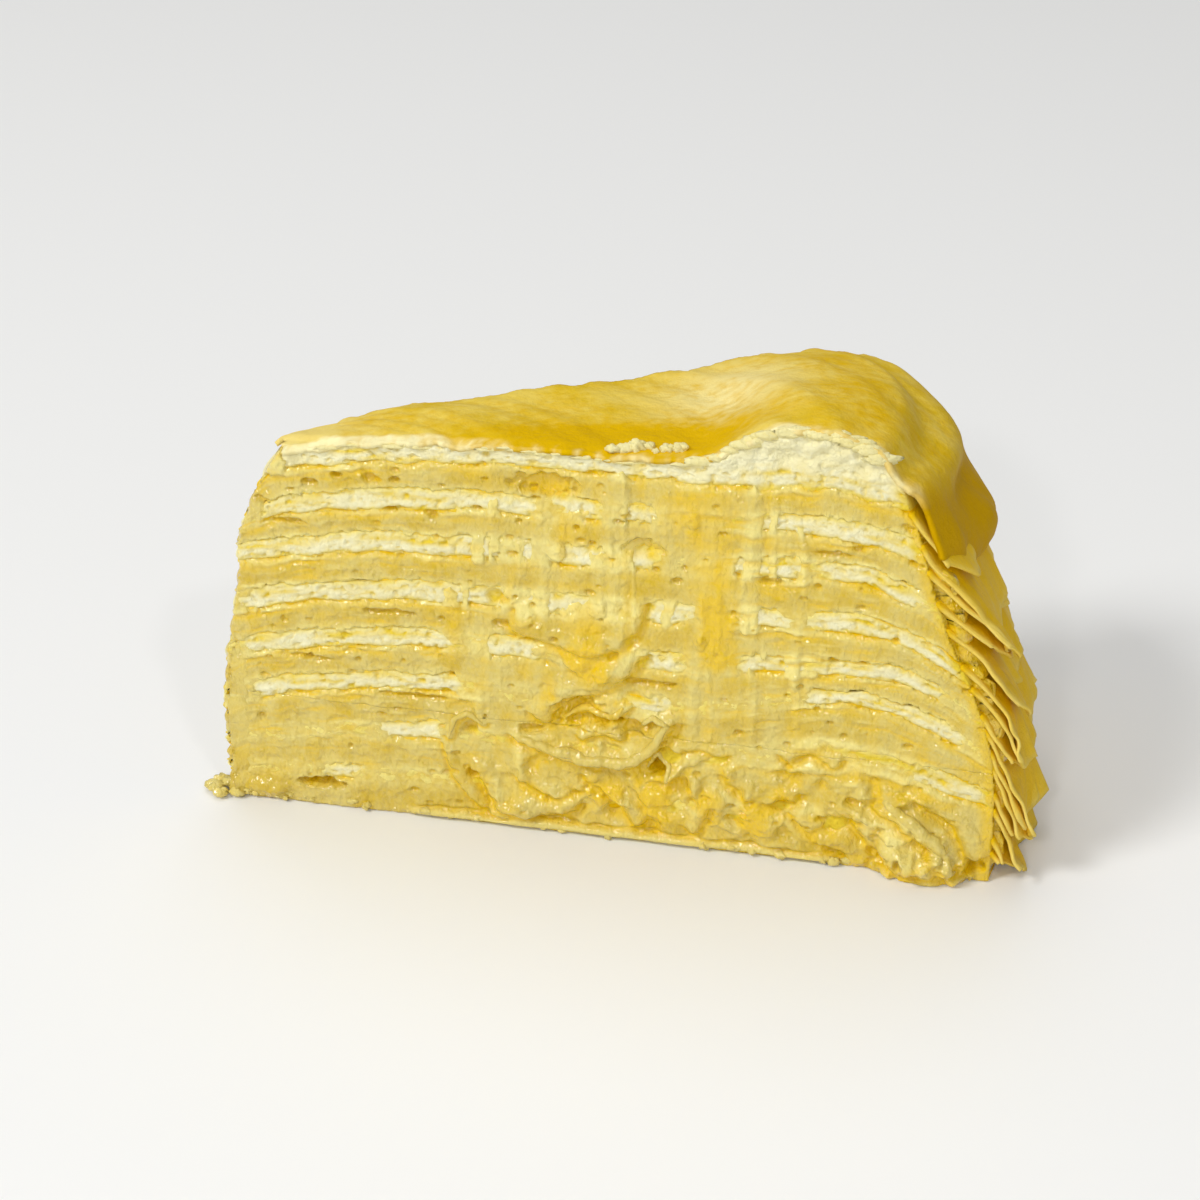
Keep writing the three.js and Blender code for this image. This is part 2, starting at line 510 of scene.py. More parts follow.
class CutFace:
    """Relief and colour of one cut, held on a fine raster of length along the cut by height.

    base is the relief of the cut itself and film the thickness of the pulp that the knife dragged over
    it. cover says how well that pulp hides the layers, and open where cream is left bare. skin is how
    proud the smeared pulp stands in the end, and deep, pale and white are shares of colour. deep holds
    both the pulp's deeper patches and painted shade in the creases, grooves and pits.
    """

    START = -5.0
    FLOOR = -2.0
    LENGTH = 130.0
    HEIGHT = 76.0
    SUNK = 0.28
    PROUD = 0.12
    CREASE = 0.22
    LIP_PALE = 0.3
    LIP_SIDES = 12
    THIN_LIP = 0.4
    THIN_LIP_SIDES = 7
    LEVELS = 144
    LOWEST = -3.0
    ABOVE_TOP = 8.0

    def __init__(self, stack: Stack, sign: float, seed: int, pitch: float,
                 clear: Sequence[Sequence[Span]]) -> None:
        """Prepares an empty cut.

        Args:
            stack: Heights and outline of the layers.
            sign: -1 for the cut at the front, 1 for the one at the back.
            seed: Seed of its noise.
            pitch: Spacing of the raster.
            clear: For each cream layer from the base up, the stretches where no pulp covers it.
        """
        self.stack = stack
        self.sign = sign
        self.angle = sign * HALF_CUT
        self.pitch = pitch
        self.noise = Noise(seed)
        self.rng = np.random.default_rng(seed + 1)
        self.clear = clear
        self.columns = np.arange(self.START, self.START + self.LENGTH, pitch)
        rows = np.arange(self.FLOOR, self.FLOOR + self.HEIGHT, pitch)
        self.along, self.up = np.meshgrid(self.columns, rows, indexing="ij")
        self.base, self.film, self.skin, self.cover = (np.zeros_like(self.along) for _ in range(4))
        self.open, self.deep, self.pale, self.white = (np.zeros_like(self.along) for _ in range(4))
        self.level = self.levels()

    def levels(self) -> Grid:
        """Works out the level in the plain stack of each raster point.

        Returns:
            The levels.
        """
        levels = np.linspace(self.LOWEST, self.stack.top + self.ABOVE_TOP, self.LEVELS)
        heights = self.stack.height(levels[None, :], self.columns[:, None], self.angle)
        heights = np.maximum.accumulate(heights, axis=1) + np.arange(len(levels)) * 1e-6
        return np.array([np.interp(up, height, levels) for up, height in zip(self.up, heights)])

    def window(self, along: float, up: float, half_length: float,
               half_height: float) -> tuple[Part, Grid, Grid]:
        """Picks the part of the raster around a place.

        Args:
            along: Length along the cut of the middle.
            up: Height of the middle.
            half_length: Reach to both sides.
            half_height: Reach up and down.

        Returns:
            The slices of the raster, and the lengths along the cut and the heights there.
        """
        column = (along - self.START) / self.pitch
        row = (up - self.FLOOR) / self.pitch
        wide = half_length / self.pitch
        tall = half_height / self.pitch
        part = (slice(max(0, int(column - wide)), max(0, int(column + wide) + 2)),
                slice(max(0, int(row - tall)), max(0, int(row + tall) + 2)))
        return part, self.along[part], self.up[part]

    def sample(self, raster: Grid, along: Grid, up: Grid) -> Grid:
        """Reads a raster between its points.

        Args:
            raster: One of the rasters of the cut.
            along: Lengths along the cut.
            up: Heights.

        Returns:
            The values there.
        """
        x = np.clip((along - self.START) / self.pitch, 0.0, raster.shape[0] - 1.001)
        y = np.clip((up - self.FLOOR) / self.pitch, 0.0, raster.shape[1] - 1.001)
        column = x.astype(int)
        row = y.astype(int)
        low = mix(raster[column, row], raster[column + 1, row], x - column)
        high = mix(raster[column, row + 1], raster[column + 1, row + 1], x - column)
        return mix(low, high, y - row)

    def heap(self, part: Part, height: Grid, cover: Grid, deep: Grid, pale: Grid | float) -> None:
        """Adds pulp to a part of the cut.

        Args:
            part: The slices of the raster.
            height: How much thicker the pulp gets.
            cover: How well it covers what lies under it, from 0 to 1.
            deep: Share of the deep colour to add.
            pale: Share of the pale colour to add.
        """
        self.film[part] += height
        self.cover[part] = np.maximum(self.cover[part], cover)
        self.deep[part] += deep
        self.pale[part] += pale

    def lay_smear(self, smear: Smear) -> None:
        """Drags a band of pulp over the cut.

        Args:
            smear: Its place and size.
        """
        middle = (smear.top + smear.bottom) / 2.0
        half = (smear.top - smear.bottom) / 2.0 + 4.0
        part, along, up = self.window(smear.along, middle, smear.width + 2.0, half)
        bend = 0.7 * self.noise(up / 9.0, smear.along) + 0.25 * self.noise(up / 3.0, smear.along)
        edge = 0.45 * self.noise.layered(up / 2.0, along / 1.6, 3)
        across = np.abs(along - smear.along - bend) / (smear.width / 2.0) + edge
        foot = up + 1.5 * self.noise(along / 1.3, 3.0)
        head = up + self.noise(along / 1.1, 8.0)
        ends = ease(smear.bottom - 1.5, smear.bottom + 1.5, foot)
        ends = ends * (1.0 - ease(smear.top - 1.0, smear.top + 1.0, head))
        body = (1.0 - ease(0.2, 1.3, across)) * ends
        rim = bell((across - 0.75) / 0.2) * ends
        strings = self.noise(along / 0.6 + 40.0, up / 9.0)
        height = smear.proud * (body * (0.55 + 0.2 * strings) + 0.06 * rim)
        self.heap(part, height, ease(0.1, 0.5, body), smear.deep * body, 0.6 * smear.pale * body)

    def drip(self, count: int, along: Span, up: Span) -> None:
        """Lets thin drips of pulp run down the cut, each with a drop at its foot.

        Args:
            count: How many.
            along: Stretch of the cut where they are.
            up: Lowest and highest top of a drip.
        """
        for _ in range(count):
            place = self.rng.uniform(*along)
            top = self.rng.uniform(*up)
            length = self.rng.uniform(2.0, 9.0)
            width = self.rng.uniform(0.8, 2.6)
            pale = self.rng.uniform(0.0, 0.4)
            proud = self.rng.uniform(0.1, 0.3)
            self.lay_smear(Smear(place, top, max(3.0, top - length), width, proud, 0.0, pale))
            half = self.rng.uniform(0.3, 0.6) * width + 0.2
            self.lay_lump(Lump(place, max(3.5, top - length), half, 1.3 * half, 0.35 * half, 0.0, pale))

    def lay_hollow(self, hollow: Hollow) -> None:
        """Digs a pit and paints it deep gold inside, as painted shade.

        Args:
            hollow: Its place and size.
        """
        reach = (hollow.half_length + 1.5, hollow.half_height + 1.5)
        part, along, up = self.window(hollow.along, hollow.up, *reach)
        ragged = 0.35 * self.noise.layered(along / 1.7, up / 1.4, 2)
        out = np.hypot((along - hollow.along) / hollow.half_length, (up - hollow.up) / hollow.half_height)
        body = 1.0 - ease(0.55, 1.1, out + ragged)
        self.base[part] -= hollow.depth * body
        # The pit is painted deep gold, as shade inside it.
        self.deep[part] += hollow.deep * body

    def lay_lump(self, lump: Lump) -> None:
        """Heaps up a lump.

        Args:
            lump: Its place and size.
        """
        reach = (lump.half_length * 1.4, lump.half_height * 1.4)
        part, along, up = self.window(lump.along, lump.up, *reach)
        ragged = 0.25 * self.noise.layered(along / 1.9, up / 1.7, 2)
        out = np.hypot((along - lump.along) / lump.half_length, (up - lump.up) / lump.half_height)
        body = np.sqrt(np.clip(1.0 - (out + ragged) ** 2, 0.0, 1.0))
        self.heap(part, lump.proud * body, ease(0.0, 0.5, body), lump.deep * body, lump.pale * body)

    def lay_ridge(self, roll: Roll) -> None:
        """Swells the pulp under a lip, with a groove along its lower side that is painted deep gold as shade.

        Args:
            roll: The curve and size of the lip.
        """
        guide = np.array(roll.points)
        middle = guide.mean(axis=0)
        half = np.abs(guide - middle).max(axis=0) + 5.0 * roll.radius + 1.0
        part, along, up = self.window(middle[0], middle[1], half[0], half[1])
        curve = soften(guide, 0.8)
        nearest = np.full_like(along, np.inf)
        below = np.zeros_like(along)
        for start, end in zip(curve[:-1], curve[1:]):
            way = end - start
            share = ((along - start[0]) * way[0] + (up - start[1]) * way[1]) / (way @ way)
            share = np.clip(share, 0.0, 1.0)
            gap_x = along - start[0] - share * way[0]
            gap_y = up - start[1] - share * way[1]
            distance = np.hypot(gap_x, gap_y)
            below = np.where(distance < nearest, gap_y < 0.0, below)
            nearest = np.minimum(nearest, distance)
        across = nearest / (2.3 * roll.radius) + 0.25 * self.noise.layered(along / 1.5, up / 1.5, 2)
        body = np.clip(1.0 - across ** 2, 0.0, 1.0)
        groove = bell((nearest - 1.9 * roll.radius) / (0.8 * roll.radius)) * below
        self.base[part] -= 0.7 * roll.radius * groove
        # The groove is painted deep gold, as shade under the lip.
        self.heap(part, 0.85 * roll.radius * body, ease(0.0, 0.5, body), 0.9 * groove, 0.0)

    def tear(self, zone: Grid, strength: float, size: float = 1.0) -> None:
        """Breaks the pulp up into torn lumps, flakes and pits.

        Args:
            zone: Where, from 0 to 1, on the raster.
            strength: Height of the largest lumps.
            size: Their size, 1 for lumps of about 4 mm.
        """
        warp_x = 1.8 * self.noise(self.along / 5.0, self.up / 5.0)
        warp_y = 1.8 * self.noise(self.along / 5.0 + 31.0, self.up / 5.0 - 7.0)
        x = (self.along + warp_x) / size
        y = (self.up + warp_y) / size
        large = 0.65 - 1.9 * np.hypot(self.noise(x / 5.0, y / 3.6), 0.09)
        lumps = self.noise(x / 2.8 + 9.0, y / 2.2)
        middle = 0.5 - 1.5 * np.hypot(self.noise(x / 1.9 + 50.0, y / 2.3), 0.12)
        small = self.noise(x / 0.8, y / 0.8)
        rough = 0.6 * large + 0.5 * lumps + 0.2 * middle + 0.06 * small
        self.film += strength * zone * rough
        jelly = self.noise(x / 4.0 - 20.0, y / 3.0 + 4.0)
        # The low places between the lumps are painted deep gold as shade; the jelly patches add deep gold at
        # random, and the highest lumps are painted paler.
        self.deep += zone * (0.9 * ease(0.1, -0.5, rough) + 0.7 * ease(0.25, 0.7, jelly))
        self.pale += 0.6 * zone * ease(0.1, 0.7, rough) * ease(0.3, -0.2, jelly)
        self.cover = np.maximum(self.cover, zone)

    def drag(self, zone: Grid, strength: float) -> None:
        """Draws fine upright streaks, as a knife leaves them.

        Args:
            zone: Where, from 0 to 1, on the raster.
            strength: Their depth.
        """
        bend = self.along + 0.8 * self.noise(self.along / 9.0, self.up / 7.0)
        coarse = self.noise(bend / 2.3, self.up / 13.0 + 5.0)
        fine = self.noise.layered(bend / 0.8 + 77.0, self.up / 5.0, 2)
        self.film += strength * zone * (1.1 * coarse + 0.35 * fine)
        # The raised streaks are painted paler and the sunken ones deep gold, as painted shade.
        self.pale += 0.3 * zone * ease(0.1, 0.8, coarse)
        self.deep += 0.35 * zone * ease(-0.1, -0.7, coarse)

    def curdle(self, strength: Grid) -> None:
        """Gives all pulp on the cut its uneven, slightly lumpy surface.

        Args:
            strength: Height of the lumps, on the raster.
        """
        lumps = np.abs(self.noise(self.along / 3.0 + 5.0, self.up / 2.0))
        fine = self.noise.layered(self.along / 0.9, self.up / 0.8, 2)
        self.film += strength * (0.45 - 1.3 * lumps + 0.4 * fine)
        broad = self.noise(self.along / 13.0, self.up / 10.0)
        middle = self.noise(self.along / 4.0 + 8.0, self.up / 3.6)
        self.base += 0.35 * broad + 0.2 * middle
        self.deep += 0.35 * ease(0.1, 0.8, self.noise(self.along / 5.0 + 60.0, self.up / 2.2))

    def strata(self, zone: Grid, layers: Sequence[Layer]) -> None:
        """Lets the edges of the crepes stand out of the pulp, with grooves beside them painted golden as
        shade.

        Args:
            zone: Where, from 0 to 1, on the raster.
            layers: The layers of the stack.
        """
        wavy = self.level + 0.35 * self.noise.layered(self.along / 4.0, self.up / 3.0, 2)
        half = self.stack.crepe / 2.0
        for layer in layers:
            if layer.filling is None:
                spread = self.noise(self.along / 9.0 + 3.0 * layer.low, layer.low)
                shown = zone * ease(-0.25, 0.35, spread)
                edge = bell((wavy - layer.low - half) / 0.5) * shown
                groove = bell((wavy - layer.low + half) / 0.4) * shown
                self.film += 0.14 * edge - 0.2 * groove
                self.pale += 0.75 * edge
                # The grooves are painted deep gold as shade.
                self.deep += 0.65 * groove
        flaky = self.noise.layered(self.along / 6.0 + 9.0, wavy / 0.9, 2)
        self.film += 0.12 * zone * flaky
        # The low flakes are painted deep gold as shade, the high ones paler.
        self.deep += 0.6 * zone * ease(-0.2, -0.7, flaky)
        self.pale += 0.5 * zone * ease(0.2, 0.8, flaky)

    def bare_base_crepe(self, start: float, end: float) -> None:
        """Lets the smooth lowest crepe stick out under the pulp.

        Args:
            start: Length along the cut where it starts.
            end: Length along the cut where it ends.
        """
        top = 1.7 + 0.5 * self.noise(self.along / 9.0, 1.0) + 0.25 * self.noise(self.along / 2.0, 7.0)
        zone = ease(start - 2.0, start + 3.0, self.along) * (1.0 - ease(end - 3.0, end + 2.0, self.along))
        zone = zone * (1.0 - ease(-0.25, 0.25, self.up - top))
        proud = 0.7 + 0.5 * self.noise(self.along / 12.0, 20.0) - 0.9 * ease(0.9, 0.2, self.up)
        self.film = mix(self.film, proud, zone)
        self.base = mix(self.base, 0.0, zone)
        self.deep = self.deep * (1.0 - zone)
        self.pale = mix(self.pale, 0.55, zone)
        # The groove along the crepe's upper edge is painted deep gold as shade.
        groove = bell((self.up - top - 0.2) / 0.35) * ease(start, start + 4.0, self.along)
        groove = groove * (1.0 - ease(end - 4.0, end, self.along))
        self.base -= 0.5 * groove
        self.deep += 0.8 * groove

    def pore(self, count: int, low: float, high: float) -> None:
        """Pricks small holes into the cut, each painted deep gold inside as shade.

        Args:
            count: How many.
            low: Smallest half width.
            high: Largest half width.
        """
        for _ in range(count):
            half = self.rng.uniform(low, high)
            length = half * self.rng.uniform(1.0, 2.4)
            middle_along = self.rng.uniform(3.0, 110.0)
            middle_up = self.rng.uniform(2.0, 60.0)
            part, along, up = self.window(middle_along, middle_up, 1.5 * length, 1.5 * half)
            body = 1.0 - ease(0.5, 1.1, np.hypot((along - middle_along) / length, (up - middle_up) / half))
            self.base[part] -= half * 1.5 * body
            # Painted shade inside the hole.
            self.deep[part] += 0.7 * body

    def show_creams(self) -> None:
        """Opens the pulp over the clear stretches of cream, with a crease painted deep gold as shade along
        each.
        """
        level = 0.0
        highest = len(self.stack.creams) - 1
        dragged = ease(30.0, 44.0, self.along) * ease(90.0, 80.0, self.along)
        ragged = self.noise.layered(self.along, self.up / 0.7, 3)
        for period, (pulp, cream) in enumerate(zip(self.stack.pulps, self.stack.creams)):
            level += pulp + 2.0 * self.stack.crepe
            low = self.stack.height(level, self.columns, self.angle)[:, None]
            high = self.stack.height(level + cream, self.columns, self.angle)[:, None]
            if period == highest:
                high = high + self.stack.dollop(self.columns, self.angle)[:, None] + self.stack.crepe
            level += cream
            patches = self.noise.layered(self.along / 2.4 - 11.0 * period, self.up / 1.3, 2)
            inside = np.minimum(self.up - low + 0.3, high + 0.75 - self.up)
            band = ease(-0.4, 0.5, inside + 0.1 + 0.5 * ragged + 0.4 * patches)
            drift = self.noise.layered(self.along / 3.0, self.up / 1.6 + 13.0 * period, 2)
            wander = self.along + 2.0 * drift
            seen = np.zeros_like(self.along)
            for start, end in self.clear[period]:
                shown = ease(start - 1.0, start + 1.0, wander) * (1.0 - ease(end - 1.0, end + 1.0, wander))
                seen = np.maximum(seen, shown)
            if period < highest:
                seen = seen * (1.0 - mix(0.2, 0.6, dragged) * ease(0.25, 0.6, patches))
            blurred = ease(-1.3, 0.5, inside + 0.3 * patches)
            self.pale += blurred * mix(0.3 + 0.4 * ragged, 0.9, seen)
            middle = ease(0.0, 0.9, inside + 0.4 * ragged + 0.3 * patches)
            self.white = np.maximum(self.white, middle * seen)
            self.open = np.maximum(self.open, band * seen)
            parted = np.clip(0.55 + 1.1 * self.noise(self.along / 6.0 + 3.0 * period, 2.0), 0.0, 1.0)
            crease = bell((self.up - low + 0.35) / 0.55) * parted * seen
            above = 0.5 * bell((self.up - high - 0.2) / 0.4) * (1.0 - parted) * seen
            crease = np.maximum(crease, above) * (1.0 - ease(0.1, 0.6, self.cover))
            # The crease is painted deep gold, as shade along the cream.
            self.base -= self.CREASE * crease
            self.deep += 0.8 * crease

    def finish(self) -> None:
        """Works out how proud the smeared pulp stands, and keeps every share between 0 and 1."""
        self.show_creams()
        self.cover = np.maximum(1.0 - self.open, self.cover)
        self.skin = self.base + self.film * ease(0.0, 0.6, self.cover)
        self.skin = self.skin + mix(-self.SUNK, self.PROUD, ease(0.15, 0.85, self.cover))
        left = self.stack.rim_radius(self.level, self.angle) - self.along
        self.deep = np.clip(self.deep + 0.8 * ease(2.5, 0.3, left), 0.0, 1.0)
        self.pale = np.clip(self.pale, 0.0, 1.0)

    def tuck(self, along: Grid, level: Grid) -> Grid:
        """How far the cut rounds off at the torn tip and at the rim.

        Args:
            along: Lengths along the cut.
            level: Levels in the plain stack.

        Returns:
            The depth of the rounding.
        """
        start = self.stack.tip_edge(level)
        corner = 0.6 * math.sin(HALF_CUT) * start
        near = np.clip((along - start) / corner, 0.0, 1.0)
        depth = corner * (1.0 - np.sqrt(np.clip(1.0 - (1.0 - near) ** 2, 0.0, 1.0)))
        left = np.clip(self.stack.rim_radius(level, self.angle) + 0.3 - along, 0.0, 1.0)
        return depth + 0.4 * (1.0 - np.sqrt(np.clip(1.0 - (1.0 - left) ** 2, 0.0, 1.0)))

    def to_space(self, along: Grid, up: Grid, out: Grid) -> Grid:
        """Points in space of points on the cut.

        Args:
            along: Lengths along the cut.
            up: Heights.
            out: How proud the points stand.

        Returns:
            The points, in a last axis of three.
        """
        x = along * math.cos(self.angle) - self.sign * math.sin(self.angle) * out
        y = along * math.sin(self.angle) + self.sign * math.cos(self.angle) * out
        return np.stack([x, y, up + 0.0 * along], axis=-1)

    def skin_shell(self, low: float, high: float) -> "Shell":
        """Builds the pulp smeared over the cut between two heights, as a closed mesh.

        Args:
            low: Lower height.
            high: Upper height.

        Returns:
            The mesh, whose back lies inside the slice.
        """
        start = self.stack.tip_edge(self.level)
        end = self.stack.rim_radius(self.level, self.angle) + 0.3
        keep = (self.along >= start - 0.05) & (self.along <= end) & (self.cover > 0.03)
        keep = keep & (self.up > 0.15) & (self.level < self.stack.top - 0.3)
        cells = keep[:-1, :-1] & keep[1:, :-1] & keep[1:, 1:] & keep[:-1, 1:]
        rows = self.up[:-1, :-1]
        cells = cells & (rows >= low) & (rows < high)
        out = self.skin - self.tuck(self.along, self.level)
        points = self.to_space(self.along, self.up, out)
        hidden = self.to_space(self.along, self.up, np.full_like(out, self.base.min() - 0.6))
        quads = grid_quads(np.arange(self.along.size).reshape(self.along.shape))[cells]
        if self.sign > 0.0:
            quads = quads[:, ::-1]
        border = open_edges(quads, self.along.size)
        loop_points, flat = np.unique(border, return_inverse=True)
        flat = flat.reshape(border.shape)
        place = np.stack([self.along.ravel()[loop_points], self.up.ravel()[loop_points]], axis=-1)
        sides = [(int(first), int(second)) for first, second in flat]
        result = delaunay_2d_cdt([Vector(point) for point in place], sides, [], 2, 1e-5)
        origin = np.array([ids[0] for ids in result[3]])
        lid = np.array(result[2]).reshape(-1, 3)
        used, compact = np.unique(quads, return_inverse=True)
        compact = compact.reshape(quads.shape)
        where = np.searchsorted(used, border)
        count = len(used)
        walls = np.stack([where[:, 1], where[:, 0], count + flat[:, 0], count + flat[:, 1]], axis=-1)
        lid = count + origin[lid]
        if self.sign < 0.0:
            lid = lid[:, ::-1]
        paint = np.stack([self.pale, self.deep, np.zeros_like(self.deep)], axis=-1).reshape(-1, 3)
        # The walls that lead into the slice are painted deep gold as shade, except near the tip.
        wall_shade = ease(6.0, 9.0, self.along.ravel()[loop_points])[:, None] * np.array([0.0, 1.0, 0.0])
        return Shell(
            np.concatenate([points.reshape(-1, 3)[used], hidden.reshape(-1, 3)[loop_points]]),
            np.concatenate([compact, walls]),
            lid,
            np.concatenate([paint[used], paint[loop_points] + wall_shade]),
        )

    def roll_shell(self, roll: Roll) -> "Shell":
        """Builds a lip that lies on the smeared pulp, as a closed tube.

        Args:
            roll: Its curve and size.

        Returns:
            The mesh.
        """
        guide = np.array(roll.points, dtype=float)
        length = float(np.hypot(*np.diff(guide, axis=0).T).sum())
        curve = soften(guide, max(0.22, 0.4 * roll.radius))
        share = np.linspace(0.0, 1.0, len(curve))
        place = share * length
        seed = float(self.rng.uniform(0.0, 90.0))
        wander = [self.noise(place / 3.0, seed), self.noise(seed, place / 3.0)]
        curve += 0.5 * roll.radius * np.stack(wander, axis=1)
        radius = roll.radius * (1.0 - roll.taper * np.abs(2.0 * share - 1.0) ** 3)
        radius = radius * (1.0 + roll.lumpy * self.noise.layered(place / 2.5, seed, 2))
        skin = self.sample(self.skin, curve[:, 0], curve[:, 1])
        even_out(skin, 4)
        middle = self.to_space(curve[:, 0], curve[:, 1], skin + roll.proud * radius)
        normal = self.to_space(np.zeros(1), np.zeros(1), np.ones(1))[0]
        ahead = np.gradient(middle, axis=0)
        ahead /= np.linalg.norm(ahead, axis=1, keepdims=True)
        side = np.cross(ahead, normal)
        side /= np.linalg.norm(side, axis=1, keepdims=True)
        rise = np.cross(side, ahead)
        sides = self.LIP_SIDES if roll.radius > self.THIN_LIP else self.THIN_LIP_SIDES
        turns = np.arange(sides) / sides * 2.0 * math.pi
        lumps = self.noise(place[:, None] / 1.2, turns[None, :] * 2.0 + seed)
        size = radius[:, None] * (1.0 + 0.4 * roll.lumpy * lumps)
        ring = side[:, None] * np.cos(turns)[:, None] + rise[:, None] * np.sin(turns)[:, None] * roll.flat
        points = middle[:, None, :] + ring * size[..., None]
        number = np.arange(points.shape[0] * sides).reshape(-1, sides)
        quads = grid_quads(closed_ring(number), turned=True).reshape(-1, 4)
        fans = []
        for chain, turned in ((number[0], True), (number[-1], False)):
            fan = np.array([(chain[0], chain[k], chain[k + 1]) for k in range(1, sides - 1)])
            fans.append(fan[:, ::-1] if turned else fan)
        paint = np.zeros((points.shape[0] * sides, 3))
        paint[:, :2] = (self.LIP_PALE, roll.deep)
        return Shell(points.reshape(-1, 3), quads, np.concatenate(fans), paint)


FRONT_CLEAR = (
    ((17.0, 21.0),),
    ((25.0, 34.0), (101.0, 111.0)),
    ((7.0, 37.0), (60.0, 66.0), (86.0, 106.0)),
    ((6.0, 35.0), (39.0, 48.0), (61.0, 68.0), (77.0, 84.0), (87.0, 103.0)),
    ((6.0, 60.0), (62.0, 69.0), (77.0, 82.0), (86.0, 107.0)),
    ((5.0, 48.0), (49.5, 64.0), (70.0, 84.0), (87.0, 100.0)),
    ((10.0, 48.0), (51.5, 57.0), (60.0, 66.0), (78.0, 99.0)),
    ((2.0, 104.0),),
)

FRONT_LIPS = (
    Roll(((45.6, 15.8), (50.0, 14.6), (55.0, 13.5), (60.0, 13.4), (64.0, 15.6), (66.6, 20.6)),
         0.85, proud=0.0, taper=0.6, lumpy=0.5),
    Roll(((66.6, 20.6), (64.5, 21.6), (63.0, 19.8)), 0.45, taper=0.5, lumpy=0.4),
    Roll(((52.0, 19.4), (55.0, 21.4), (58.5, 20.4), (60.5, 22.6)),
         0.6, proud=0.0, taper=0.6, lumpy=0.5, deep=0.6),
    Roll(((35.2, 14.4), (35.8, 17.4), (38.0, 18.8), (40.2, 17.2)), 0.4, proud=0.2, lumpy=0.4),
    Roll(((63.7, 12.6), (65.0, 15.2), (67.0, 13.4), (66.6, 10.4)), 0.45, proud=0.1, lumpy=0.4),
    Roll(((97.0, 12.0), (101.0, 9.6), (105.0, 6.2), (107.5, 2.0)), 1.0, proud=-0.3, flat=0.9, lumpy=0.5),
)

FRONT_RIDGES = (
    Roll(((45.5, 33.5), (50.0, 32.6), (54.0, 31.2), (58.0, 31.6), (61.5, 35.0), (62.0, 39.0)), 0.8),
    Roll(((61.5, 31.0), (59.5, 27.4), (55.0, 25.2), (51.0, 23.6), (49.0, 19.8)), 1.0),
    Roll(((54.5, 17.0), (57.0, 18.6), (60.0, 17.6)), 0.5),
    Roll(((40.0, 9.4), (42.0, 5.0), (47.0, 3.2), (52.6, 5.4)), 0.9),
    Roll(((46.0, 9.0), (50.0, 6.8), (53.5, 8.6)), 0.7),
    Roll(((34.8, 13.0), (36.0, 8.0), (39.5, 3.4)), 0.5),
    Roll(((68.0, 16.4), (71.0, 17.8), (74.5, 16.2)), 0.5),
    Roll(((83.6, 17.2), (86.6, 19.2), (89.8, 17.4)), 0.7),
    Roll(((94.0, 8.0), (96.5, 4.6), (100.5, 2.2)), 0.9),
    Roll(((103.0, 12.5), (108.0, 9.6), (110.0, 4.6)), 0.8),
    Roll(((86.0, 8.0), (89.0, 4.6), (94.0, 2.0)), 0.9),
    Roll(((98.5, 4.0), (102.5, 2.6), (106.0, 3.4)), 1.0),
    Roll(((70.0, 12.0), (72.0, 8.0), (70.5, 4.0)), 0.7),
    Roll(((76.0, 13.0), (79.0, 10.0), (84.0, 11.0)), 0.8),
    Roll(((56.0, 10.5), (60.0, 8.0), (62.5, 4.0)), 0.8),
)

FRONT_SMEARS = (
    Smear(48.8, 49.5, 35.0, 2.8, 0.4, pale=0.2),
    Smear(58.8, 58.0, 20.0, 3.2, 0.6, pale=0.2),
    Smear(44.8, 47.0, 36.0, 4.2, 0.35),
    Smear(36.5, 38.0, 28.0, 2.6, 0.3, 0.35),
    Smear(66.5, 52.0, 36.0, 2.0, 0.3),
    Smear(72.0, 57.0, 40.0, 8.0, 0.4, 0.45),
    Smear(73.2, 41.0, 30.0, 5.4, 0.6, 1.2),
    Smear(77.6, 57.5, 33.0, 2.6, 0.5, pale=0.4),
    Smear(80.5, 57.0, 42.0, 1.3, 0.35, pale=0.3),
    Smear(84.5, 50.0, 22.0, 1.2, 0.35, pale=0.3),
    Smear(70.0, 31.0, 14.0, 2.0, 0.4, pale=0.3),
    Smear(78.5, 30.0, 10.0, 1.6, 0.4, pale=0.3),
    Smear(40.0, 32.0, 18.0, 3.0, 0.35, pale=0.2),
    Smear(55.0, 38.0, 26.0, 6.0, 0.35, 0.5),
    Smear(53.0, 52.0, 47.0, 5.0, 0.3, 0.5),
    Smear(67.5, 56.0, 50.0, 7.0, 0.3, 0.5),
    Smear(65.0, 12.0, 3.0, 5.0, 0.3, 0.7),
    Smear(79.0, 9.0, 3.0, 6.0, 0.3, 0.6),
    Smear(60.3, 57.0, 33.0, 1.0, 0.45, pale=0.5),
    Smear(61.6, 49.0, 31.0, 0.8, 0.4, pale=0.4),
    Smear(72.2, 30.0, 17.0, 0.8, 0.35, pale=0.4),
)
